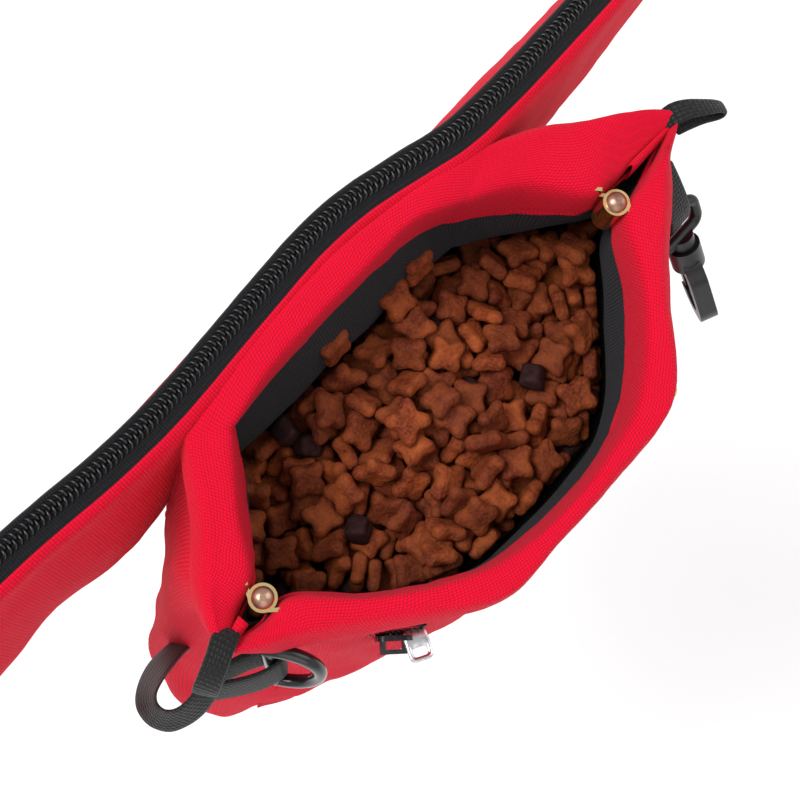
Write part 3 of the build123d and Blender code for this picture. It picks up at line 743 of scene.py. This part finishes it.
def sim_wall():
    """The pouch as the falling pieces meet it: a tall tube with a floor."""
    rings = [between(ring, ring, 0, out=-1.5) for ring in lining_rings()[1:]]
    top = [(x, y, -140) for x, y, _ in rings[0]]
    floor = [(x, y, HEAP_FLOOR) for x, y, _ in rings[-1]]
    wall = skin([top, rings[0], rings[1], floor], 4, 4)
    rows, columns = wall.shape[:2]
    points = wall.reshape(-1, 3) * [1, 1, -1] * TO_SIM
    faces = quads(rows, columns)
    faces.append(tuple((rows - 1) * columns + c for c in range(columns)))
    data = bpy.data.meshes.new("sim_wall")
    data.from_pydata(points.tolist(), [], faces)
    return data


def sim_hulls(shapes):
    """A lighter mesh of each shape, for its collisions."""
    hulls = []
    for vertices, _ in shapes:
        hull = bpy.data.meshes.new("sim_hull")
        hull.from_pydata((vertices[::2] * 0.96 * TO_SIM).tolist(), [], [])
        hulls.append(hull)
    return hulls


def make_rigid(piece, moves):
    """Gives a piece its rigid body."""
    with bpy.context.temp_override(object=piece, active_object=piece, selected_objects=[piece]):
        bpy.ops.rigidbody.object_add(type="ACTIVE" if moves else "PASSIVE")
    body = piece.rigid_body
    body.collision_shape = "CONVEX_HULL" if moves else "MESH"
    body.use_margin = True
    body.collision_margin = 0.01
    body.friction = 0.55
    body.restitution = 0.05
    body.linear_damping = 0.1
    body.angular_damping = 0.25


def simulate(spots, turns, kinds, shapes):
    """Drops the pieces into the lining with rigid bodies, and returns each one's place and turn."""
    scene = bpy.context.scene
    world = sim_world()
    data = sim_wall()
    made = [bpy.data.objects.new("sim_wall", data)]
    hulls = sim_hulls(shapes)
    for spot, turn, kind in zip(spots, turns, kinds):
        piece = bpy.data.objects.new("sim_treat", hulls[kind])
        piece.location = Vector((spot[0], spot[1], -spot[2])) * TO_SIM
        piece.rotation_euler = turn
        made.append(piece)
    for piece in made:
        world.collection.objects.link(piece)
    bpy.context.view_layer.update()
    for index, piece in enumerate(made):
        make_rigid(piece, moves=index > 0)
    for step in range(1, SIM_FRAMES + 1):
        scene.frame_set(step)
    depsgraph = bpy.context.evaluated_depsgraph_get()
    found = [np.array(piece.evaluated_get(depsgraph).matrix_world) for piece in made[1:]]
    for piece in made:
        bpy.data.objects.remove(piece, do_unlink=True)
    for mesh in [*hulls, data]:
        bpy.data.meshes.remove(mesh)
    sim_collection = world.collection
    bpy.ops.rigidbody.world_remove()
    bpy.data.collections.remove(sim_collection)
    scene.frame_set(1)
    return found


def make_treats():
    """The heap of treats, as loose pieces that fell into the pouch."""
    rng = random.Random(SEED)
    shapes = treat_shapes(rng)
    count = TREATS + DARK_TREATS
    kinds = [rng.randrange(LOBED_SHAPES) for _ in range(TREATS)] + [LOBED_SHAPES] * DARK_TREATS
    rng.shuffle(kinds)
    spots = drop_places(rng, count)
    turns = [Euler([rng.uniform(0, 6.28) for _ in range(3)]) for _ in range(count)]
    matrices = simulate(spots, turns, kinds, shapes)
    groups = {"treats": ([], [], TREAT), "dark_treats": ([], [], DARK_TREAT)}
    for kind, matrix in zip(kinds, matrices):
        vertices, faces = shapes[kind]
        moved = vertices @ matrix[:3, :3].T + matrix[:3, 3] / TO_SIM
        if moved[:, 2].max() > -HEAP_TOP or moved[:, 2].min() < -HEAP_FLOOR - HEAP_SAG:
            continue
        points, polygons, _ = groups["dark_treats" if kind == LOBED_SHAPES else "treats"]
        first = len(points)
        points.extend((moved + [0, MOUTH_Y, RIM_Z]).tolist())
        polygons.extend([[first + i for i in face] for face in faces])
    for name, (points, polygons, material) in groups.items():
        piece = mesh_piece(name, points, polygons, "pack", material)
        if name == "treats":
            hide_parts("kibble")
        folds(piece)


# ---- the waist pack and its zip

# The line of the zip: the pack's top edge wanders as the pouch pulls on it.
ZIP_LINE = ((-141, -7), (-112, -6), (-87, -6.5), (-63, -8.7), (-46, -9.1), (-30, -8.1), (-15, -6.9),
            (4, -5.8), (18, -6.7), (32, -9.6), (46, -12.7), (62, -13.4), (80, -13.1), (100, -12.5),
            (120, -11.1), (141, -8.8))
ZIP_CURVE = spread(ZIP_LINE, 8)
PACK_HALF = 140.0
PACK_MIDDLE = (-7.0, 0.0)
PACK_END = 9.0
TAPE_FRONT = 4.8
TAPE_BACK = 2.5

# The coil: the pitch of its turns, how far each row reaches sideways, its height and its wire's radius.
COIL_PITCH = 1.5
COIL_REACH = 2.05
COIL_HIGH = 1.4
COIL_WIRE = 0.34
COIL_STEPS = 14
COIL_SIDES = 6


def zip_line(x):
    """The y of the zip's middle at x."""
    return float(np.interp(x, ZIP_CURVE[:, 0], ZIP_CURVE[:, 1]))


def bulge(x):
    """How far the pack's front stands out at x, beyond the flat front that the pouch is sewn to."""
    left = 6.0 * math.exp(-((x + 122) / 24) ** 2) + 7.4 * math.exp(-((x + 70) / 26) ** 2)
    right = 9.0 * math.exp(-((x - 78) / 26) ** 2) + 5.0 * math.exp(-((x - 118) / 24) ** 2)
    return left + right


def make_pack():
    """The pack's skin: from the front edge of the zip round under the pack to the back edge of the zip."""
    xs = np.linspace(-PACK_HALF, PACK_HALF, 113)
    columns = []
    for x in xs:
        middle = zip_line(x)
        end = min(1.0, (PACK_HALF - abs(x)) / PACK_END)
        plump = math.sqrt(max(0.0, 1 - (1 - end) ** 2))
        swell = bulge(x)
        lip, back = middle - TAPE_FRONT, middle + TAPE_BACK
        low = -13.6 - swell
        hidden = back + 0.9 * math.exp(-((x + 40) / 22) ** 2)
        loop = [(lip + 0.5, 33.0), (lip - 0.4, 34.2), (lip - 1.3, 34.0), (lip - 2.6, 32.2),
                (min(lip - 3.2, low * 0.35 + lip * 0.65), 26), (min(lip - 3.4, low * 0.8 + lip * 0.2), 12),
                (low, -4), (low * 0.95, -18), (low * 0.7, -29), (-8, -33.8), (-3.4, -33.9), (-0.6, -30),
                (-0.4, -14), (min(-0.4, hidden + 4.6), 4), (min(-0.5, hidden + 2.3), 18),
                (min(-0.8, hidden + 0.9), 27), (hidden + 0.2, 32), (back - 0.1, 33.3), (back - 0.5, 32.9)]
        shrunk = []
        for y, z in loop:
            flat = np.array([y, z]) - PACK_MIDDLE
            flat[0] *= 0.45 + 0.55 * plump
            shrunk.append((x, *(flat + PACK_MIDDLE)))
        columns.append(spread(shrunk, 3))
    grid = np.swapaxes(np.array(columns), 0, 1)
    rows = grid.shape[0]
    fade = np.clip(np.minimum(np.linspace(-0.6, 6, rows), np.linspace(6, -0.6, rows)), 0, 1)
    grid = wrinkled(grid, 1.1, 22.0, closed=False, fade=fade)
    grid = wrinkled(grid, 0.4, 7.0, closed=False, fade=fade)
    piece = grid_piece("pack_fabric", grid, "pack", RED, flip=True)
    thicken(piece, 0.7)
    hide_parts("pack_back_panel", "pack_front_panel")


def make_tapes():
    """The zip's two tapes along the wandering line."""
    xs = np.linspace(-PACK_HALF + 3, PACK_HALF - 3, 150)
    for side, name in ((-1, "waist_zip_tape_front"), (1, "waist_zip_tape_back")):
        rows = []
        reach = TAPE_BACK if side > 0 else TAPE_FRONT
        for across, high in ((0.3, 32.6), (0.6, 32.95), (reach * 0.55, 33.1), (reach * 0.62, 32.9),
                             (reach * 0.85, 33.3), (reach, 33.5), (reach + 0.5, 32.9)):
            rows.append([(x, zip_line(x) + side * across, high) for x in xs])
        grid = wrinkled(np.array(rows), 0.12, 5.0, closed=False)
        piece = grid_piece(name + "_cloth", grid, "pack", TAPE, flip=side > 0)
        thicken(piece, 0.5)
        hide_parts(name)


def coil(name, line, up, length, body):
    """Both rows of a nylon coil zip. line(s) gives the point, the run and the side direction at s."""
    vertices, faces = [], []
    for side in (-1, 1):
        points = []
        for i in range(int(length / COIL_PITCH) * COIL_STEPS + 1):
            angle = FULL_TURN * i / COIL_STEPS
            s = COIL_PITCH * i / COIL_STEPS + (0 if side > 0 else COIL_PITCH / 2)
            flat = math.cos(angle)
            across = COIL_REACH / 2 * (1 + 0.98 * math.copysign(abs(flat) ** 0.75, flat)) - 0.25
            lift = COIL_HIGH / 2 * (1 + math.sin(angle))
            middle, run, out = line(s)
            lean = 0.28 * math.sin(angle) * COIL_PITCH
            points.append(middle + run * lean + out * side * across + np.asarray(up) * lift)
        points = np.array(points)
        run = np.gradient(points, axis=0)
        run /= np.linalg.norm(run, axis=1, keepdims=True)
        one = np.cross(run, np.asarray(up) + 0.01)
        one /= np.linalg.norm(one, axis=1, keepdims=True)
        two = np.cross(run, one)
        faces += quads(len(points), COIL_SIDES, first=len(vertices))
        for p, a, b in zip(points, one, two):
            for turn in circle(COIL_SIDES):
                vertices.append(p + COIL_WIRE * (math.cos(turn) * a + math.sin(turn) * b))
    piece = mesh_piece(name, vertices, faces, body, COIL)
    return piece


def make_waist_coil():
    """The long coil along the pack's top."""
    def line(s):
        x = -PACK_HALF + 8 + s
        slope = zip_line(x + 0.5) - zip_line(x - 0.5)
        run = np.array([1, slope, 0]) / math.hypot(1, slope)
        return np.array([x, zip_line(x), 32.7]), run, np.array([-run[1], run[0], 0])
    piece = coil("waist_coil", line, UP, 2 * PACK_HALF - 16, "pack")
    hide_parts("waist_zip_coil")


# ---- straps

# The belt: the radius of its bends, where it leaves the pack, how far out it goes, and its two depths.
BELT_BEND = 62.9
BELT_NEAR = 155.0
BELT_FAR = 235.0
BELT_FRONT = -7.0
BELT_REAR = 119.0
BELT_END = 27.0
BELT_WIDTH = 25.0
BELT_THICKNESS = 1.5
BEND_DEGREES = range(12, 91, 13)

# A wing: its length, and its half height and half depth at the pack and at the belt.
WING_LENGTH = 32.0
WING_OVERLAP = 5.0
WING_HALF_HEIGHT = (33, 14.5)
WING_HALF_DEPTH = (5.5, 2.2)


def belt_path(side):
    """One length of belt, from a wing round to the back."""
    turn_x = BELT_FAR - BELT_BEND
    path = [(side * x, BELT_FRONT, 0) for x in np.linspace(BELT_NEAR, turn_x, 4)]
    for degrees in BEND_DEGREES:
        s, c = math.sin(math.radians(degrees)), math.cos(math.radians(degrees))
        path.append((side * (turn_x + BELT_BEND * s), BELT_FRONT + BELT_BEND * (1 - c), 0))
    for degrees in BEND_DEGREES:
        s, c = math.sin(math.radians(degrees)), math.cos(math.radians(degrees))
        path.append((side * (turn_x + BELT_BEND * c), BELT_REAR - BELT_BEND * (1 - s), 0))
    return path + [(side * x, BELT_REAR, 0) for x in np.linspace(turn_x - 20, BELT_END, 8)]


def rounded(value, power):
    """The value with its sign, raised to a power: it squares off a circle."""
    return math.copysign(abs(value) ** power, value)


def wing_grid(side):
    """The flattened sleeve of one wing, narrowing towards the belt."""
    rows = []
    for share in np.linspace(0, 1, 25):
        turn = FULL_TURN * share
        row = []
        for part in np.linspace(0, 1, 17):
            tall = WING_HALF_HEIGHT[0] * (1 - part) + WING_HALF_HEIGHT[1] * part
            deep = WING_HALF_DEPTH[0] * (1 - part) + WING_HALF_DEPTH[1] * part
            x = PACK_HALF - WING_OVERLAP + WING_LENGTH * part
            y = BELT_FRONT + deep * rounded(math.cos(turn), 0.7)
            row.append((side * x, y, tall * rounded(math.sin(turn), 0.6)))
        rows.append(row)
    return wrinkled(np.array(rows), 0.5, 9.0, closed=False)


def make_belt():
    """The belt's two lengths of webbing, and the wings they are sewn to."""
    for side, name in ((-1, "left"), (1, "right")):
        path = belt_path(side)
        piece = ribbon(f"{name}_belt_webbing", path, [UP] * len(path), BELT_WIDTH, BELT_THICKNESS, "pack",
                       WEBBING, per_span=5)
        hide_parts(f"{name}_belt")
        piece = grid_piece(f"{name}_wing_fabric", wing_grid(side), "pack", RED, flip=side < 0)
        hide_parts(f"{name}_wing")


def mouth_path(*points):
    """Points given from the middle of the mouth, in the row's frame."""
    return [tuple(p) for p in place(points)]


# Each strap's line from the middle of the mouth as (x, y, depth), and its width there.
RIGHT_TAB = ((83.6, 6.2, 2.8), (86.4, 5.2, 0.8), (89.4, 3.6, 0.3), (92.8, 1.2, 1), (96, -0.8, 2.6),
             (97.8, -2.2, 4.4), (97, -2.4, 6), (93.2, 0, 5.8), (89, 2, 5), (85.4, 3.2, 4.6))
RIGHT_TAB_TAPER = (1.0, 1.12, 1.0, 0.86, 0.72, 0.62, 0.62, 0.75, 0.9, 0.9)
RIGHT_TAB_WIDE = (0.37, 0.9, -0.1)
LEFT_TAB = ((-70, -0.6, 2.4), (-72.4, -1.2, 0), (-75.6, -2.6, -0.8), (-79, -4, 0.4), (-82, -5.2, 3.4),
            (-83, -5.6, 7), (-80.4, -4.4, 7.4), (-76, -2.6, 4.6), (-72, -1.2, 5))
LEFT_TAB_TAPER = (0.9, 1.0, 0.95, 0.95, 1.0, 1.0, 0.95, 0.9, 0.9)
LEFT_TAB_WIDE = (-0.5, 0.85, 0.05)
LEFT_LOOP = ((-76, -3.2, 6.4), (-80.6, -5, 8.6), (-85.4, -6.2, 11), (-90, -5.8, 14), (-93.6, -3.6, 17),
             (-94.8, -0.4, 20), (-94, 2.8, 25), (-91.6, 5, 34), (-88.4, 6.4, 48), (-85, 7, 62), (-82, 7, 74))
LEFT_LOOP_WIDE = ((0, 0.6, 0.8), (0, 0.7, 0.7), (0.2, 0.6, 0.8), (0.3, 0.5, 0.8), (0.6, 0.3, 0.75),
                  (0.7, 0.1, 0.7), (0.8, -0.2, 0.55), (0.8, -0.5, 0.3), (0.6, -0.7, 0.2),
                  (0.6, -0.7, 0.2), (0.6, -0.7, 0.2))

# A strap folded round a bar: (distance from the bar, distance from the middle) where it turns.
BAR_TURN = ((3, 2.7), (-1.6, 1.8))
BAR_BACK = 2.7

# The ring's strap: its bar, the way it points and the tilt of its width, in degrees.
RING_BAR = (-69.5, -12.5, 17.5)
RING_TURN = -28
RING_TILT = 65
RING_STRAP = ((15, 1.2), (8, 2.4))

# The hook's strap: the swivel's eye, and how far the strap leans back, in degrees.
HOOK_EYE = (80, -11.5, 28)
HOOK_LEAN = 38
HOOK_STRAP = ((18, 0.9), (10, 2.2))


def round_bar(bar, away, face, ends):
    """A strap that comes down to a bar on one face, goes round it and returns on the other."""
    half = [*ends, *BAR_TURN]
    front = [bar + away * a + face * b for a, b in half]
    back = [bar + away * a - face * b for a, b in reversed(half)]
    return [*front, bar - away * BAR_BACK, *back]


def make_tabs():
    """The webbing at the mouth's two ends."""
    piece = ribbon("right_tab_webbing", mouth_path(*RIGHT_TAB), [RIGHT_TAB_WIDE] * len(RIGHT_TAB), 5.2, 1.2,
                   "right_ear", WEBBING, taper=RIGHT_TAB_TAPER)
    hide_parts("right_pull_tab")

    piece = ribbon("left_tab_webbing", mouth_path(*LEFT_TAB), [LEFT_TAB_WIDE] * len(LEFT_TAB), 6.0, 1.5,
                   "left_ear", WEBBING, taper=LEFT_TAB_TAPER)
    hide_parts("left_pull_tab")

    piece = ribbon("left_loop_webbing", mouth_path(*LEFT_LOOP), LEFT_LOOP_WIDE, 6.8, 1.2, "left_ear", WEBBING)
    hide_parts("left_web_loop")


def make_ring_strap():
    """The short strap that holds the ring."""
    bar = np.array(place([RING_BAR])[0])
    turn, tilt = math.radians(RING_TURN), math.radians(RING_TILT)
    along = np.array([math.cos(turn), math.sin(turn), 0])
    sideways = np.array([-along[1], along[0], 0])
    wide = sideways * math.cos(tilt) + np.array(UP) * math.sin(tilt)
    path = round_bar(bar, -along, np.cross(along, wide), RING_STRAP)
    piece = ribbon("ring_strap_webbing", path, [wide] * len(path), 9.6, 1.2, "left_ear", WEBBING)
    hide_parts("d_ring_strap")


def make_hook_strap():
    """The short strap that holds the swivel hook."""
    eye = np.array(place([HOOK_EYE])[0])
    lean = math.radians(HOOK_LEAN)
    up = np.array([0, math.sin(lean), math.cos(lean)])
    face = np.array([0, -math.cos(lean), math.sin(lean)])
    path = round_bar(eye, up, face, HOOK_STRAP)
    piece = ribbon("hook_strap_webbing", path, [(1, 0, 0)] * len(path), 7.6, 1.1, "right_ear", WEBBING)
    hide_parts("hook_strap")


# Each ear's root inside the rim and its tip, as (x, y), its middle depth and its half height.
EARS = {"right": ((70, 4.2), (87.4, 4.0)), "left": ((-66.5, -1.2), (-74.2, -2.5))}
EAR_DEPTH = 6.8
EAR_HALF = 5.2


def make_ears():
    """The gathered fabric inside each tab. It slides out of the rim as the mouth folds."""
    for name, (root, tip) in EARS.items():
        rows = []
        for share in np.linspace(0, 1, 13):
            turn = FULL_TURN * share
            row = []
            for part in np.linspace(0, 1, 9):
                x = root[0] + part * (tip[0] - root[0])
                y = root[1] + part * (tip[1] - root[1]) + (1.2 - 0.3 * part) * math.cos(turn)
                row.append((x, y, EAR_DEPTH + EAR_HALF * math.sin(turn)))
            rows.append(row)
        piece = grid_piece(f"{name}_ear_fabric", place(np.array(rows)), f"{name}_ear", RED)
        thicken(piece, 0.4)
        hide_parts(f"{name}_ear")


# ---- the front pocket

# How far the pocket stands out from the bag at each station, and its rows: (which of the bag's depths,
# the row's depth, the share of that distance).
POCKET_PROUD = {"right_front": 0.1, "front_right": 0.5, "front_1": 0.8, "front_2": 1.2, "front_left": 2.8,
                "left_front": 3.8, "left_pin_front": 1.0}
POCKET_ROWS = ((0, 33, 0.7), (1, 42, 1.0), (2, 62, 1.1), (3, 92, 1.0), (4, 120, 0.3))
POCKET_ZIP = ((-57.3, -16.3, 40), (-38.3, -35.1, 40))
POCKET_TAPE = 11.5


def make_pocket():
    """The pocket in front: a second skin that stands proud of the bag."""
    rings = []
    for index, depth, extra in POCKET_ROWS:
        ring = []
        for name, out in POCKET_PROUD.items():
            x, y = BAG[name][index]
            away = np.array([x * 0.35, y]) / np.linalg.norm([x * 0.35, y])
            ring.append((x + away[0] * out * extra, y + away[1] * out * extra, depth))
        rings.append(ring)
    grid = place(skin(rings, 8, 12, closed=False))
    fade = np.clip(np.linspace(-1, 4, grid.shape[0]), 0, 1)
    grid = wrinkled(grid, 1.6, 15.0, closed=False, fade=fade)
    grid = wrinkled(grid, 0.3, 5.0, closed=False)
    piece = grid_piece("pocket_fabric", grid, "pack", RED)
    thicken(piece, 0.7)
    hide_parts("pocket_front", "pocket_left")
    folds(piece)


def make_pocket_zip():
    """The pocket's zip: a tape behind a coil, facing out and to the left."""
    ends = place(POCKET_ZIP)
    run = (ends[1] - ends[0]) / np.linalg.norm(ends[1] - ends[0])
    out = np.array([run[1], -run[0], 0])
    path = [ends[0] + (ends[1] - ends[0]) * t - out * 0.9 for t in (0, 0.33, 0.67, 1)]
    piece = ribbon("pocket_zip_tape", path, [UP] * len(path), POCKET_TAPE, 0.7, "pack", TAPE)
    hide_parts("pocket_zip_tapes")
    folds(piece)

    def line(s):
        return ends[0] + run * s - out * 0.5, run, np.array(UP)
    length = float(np.linalg.norm(ends[1] - ends[0])) - 1
    piece = coil("pocket_coil", line, out, length, "pack")
    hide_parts("pocket_zip_coil")
    folds(piece)


# The pocket pull's plate: the middle as (x, y, depth), its two directions, its size and its steps round.
PLATE_MIDDLE = (-42.6, -36, 38.6)
PLATE_ACROSS = (0.87, -0.48, -0.05)
PLATE_OUT = (-0.48, -0.87, 0.08)
PLATE_WIDTH = 6.2
PLATE_LENGTH = 8.4
PLATE_THICKNESS = 1.3
PLATE_STEPS = 32

# The plate's loops: (True for the slot, height as a share of the thickness, growth at the bevel).
PLATE_LAYERS = ((False, 0.5, 0.92), (False, 0.3, 1.0), (False, -0.3, 1.0), (False, -0.5, 0.92),
                (True, -0.5, 1.12), (True, -0.3, 1.0), (True, 0.3, 1.0), (True, 0.5, 1.12))


def plate_mesh(middle, across, out):
    """The points and faces of a rounded plate with a slot near its far end."""
    up = np.cross(across, out)
    outline, slot = [], []
    for turn in circle(PLATE_STEPS):
        x, y = rounded(math.cos(turn), 0.4), rounded(math.sin(turn), 0.4)
        outline.append((x * PLATE_WIDTH / 2, y * PLATE_LENGTH / 2))
        slot.append((x * PLATE_WIDTH * 0.3, (y * 0.13 + 0.22) * PLATE_LENGTH))
    vertices = []
    for is_slot, high, grow in PLATE_LAYERS:
        loop = slot if is_slot else outline
        centre = np.mean(loop, axis=0)
        for point in loop:
            x, y = centre + (np.asarray(point) - centre) * grow
            vertices.append(middle + across * x + out * y + up * high * PLATE_THICKNESS)
    faces = quads(len(PLATE_LAYERS), PLATE_STEPS)
    last = (len(PLATE_LAYERS) - 1) * PLATE_STEPS
    for i in range(PLATE_STEPS):
        after = (i + 1) % PLATE_STEPS
        faces.append((last + i, last + after, after, i))
    return vertices, faces


def make_pocket_pull():
    """The pocket zip's slotted pull, lying out from its slider."""
    middle = np.array(place([PLATE_MIDDLE])[0])
    vertices, faces = plate_mesh(middle, np.array(PLATE_ACROSS), np.array(PLATE_OUT))
    piece = mesh_piece("pocket_pull_plate", vertices, faces, "pocket_pull", SILVER)
    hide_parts("pocket_pull")


# ---- CAD pieces that stay

def dress(material, *names, bevel=0.0):
    """Gives CAD nodes a material, with slightly rounded edges."""
    for name in names:
        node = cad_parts[name]
        node.data.materials.clear()
        node.data.materials.append(material)
        if bevel:
            edge = node.modifiers.new("edge", "BEVEL")
            edge.width = bevel * MM
            edge.segments = 2
            edge.limit_method = "ANGLE"
            edge.angle_limit = math.radians(40)
            edge.harden_normals = False


def dress_cad():
    """Materials for every CAD node that is shown."""
    strips = [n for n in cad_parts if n.startswith("frame_")]
    dress(BRASS, *strips, "back_corner_pins", "front_corner_pins", bevel=0.12)
    dress(COPPER, "left_end_pin", "right_end_pin")
    dress(PLASTIC, "buckle_socket", "buckle_plug", "buckle_upper_prong", "buckle_lower_prong",
          "strap_adjuster", "hook_swivel", "hook_body", "hook_gate", bevel=0.35)
    dress(GLOSSY, "d_ring")
    dress(GUNMETAL, "waist_slider", "pocket_slider", bevel=0.25)
    dress(SILVER, "waist_pull", "waist_zip_stops", bevel=0.2)
    dress(WEBBING, "strap_keeper", bevel=0.3)


# ---- studio

# The camera's place in millimetres and its turn in degrees.
CAMERA_AT = (-65.2, -55.3, 314.2)
CAMERA_TURN = (9.691, -6.274, -47.66)
LENS = 58.5
SENSOR = 36.0

# The studio, in metres: the floor, the overhead light and the soft lights as (name, place, size, power).
FLOOR_Z = -0.42
FLOOR_SIZE = 8
SUN_STRENGTH = 1.5
SUN_SOFTNESS = 35
SUN_AIM = (0.35, -0.5, -1.0)
LIGHTS = (("key", (-0.5, 0.75, 1.1), 0.7, 6.0), ("fill", (0.9, -0.5, 0.9), 1.2, 4.0),
          ("front", (-0.7, -0.8, 0.7), 1.2, 3.0))
LIGHT_AIM = (0, -0.05, 0)
WORLD_STRENGTH = 0.55


def put(name, data):
    """A new object in the scene."""
    made = bpy.data.objects.new(name, data)
    bpy.context.scene.collection.objects.link(made)
    return made


def aim(holder, direction):
    """Points a light along a direction."""
    holder.rotation_euler = Vector(direction).to_track_quat("-Z", "Y").to_euler()


def make_camera():
    """The camera, over the mouth of the pouch."""
    camera = bpy.data.cameras.new("camera")
    camera.lens = LENS
    camera.sensor_width = SENSOR
    camera.clip_start = 0.01
    holder = put("camera", camera)
    holder.location = Vector(CAMERA_AT) * MM
    holder.rotation_euler = Euler([math.radians(a) for a in CAMERA_TURN])
    bpy.context.scene.camera = holder


def make_studio():
    """The floor and soft light."""
    bpy.ops.mesh.primitive_plane_add(size=FLOOR_SIZE, location=(0, 0, FLOOR_Z))
    floor = bpy.context.object
    floor.name = "studio_floor"
    floor.data.materials.append(floor_material())

    sun = bpy.data.lights.new("sky", "SUN")
    sun.energy = SUN_STRENGTH
    sun.angle = math.radians(SUN_SOFTNESS)
    aim(put("sky", sun), SUN_AIM)
    for name, at, size, power in LIGHTS:
        light = bpy.data.lights.new(name, "AREA")
        light.shape = "DISK"
        light.size = size
        light.energy = power
        lamp = put(name, light)
        lamp.location = at
        aim(lamp, Vector(LIGHT_AIM) - Vector(at))
    world = bpy.data.worlds.new("studio")
    world.use_nodes = True
    background = world.node_tree.nodes["Background"]
    background.inputs["Color"].default_value = (1, 1, 1, 1)
    background.inputs["Strength"].default_value = WORLD_STRENGTH
    bpy.context.scene.world = world
    bpy.context.scene.view_settings.view_transform = "Standard"


make_camera()
make_studio()
make_rim()
make_bag()
make_lining()
make_pack()
make_tapes()
make_waist_coil()
make_belt()
make_tabs()
make_ring_strap()
make_hook_strap()
make_ears()
make_pocket()
make_pocket_zip()
make_pocket_pull()
dress_cad()
make_treats()
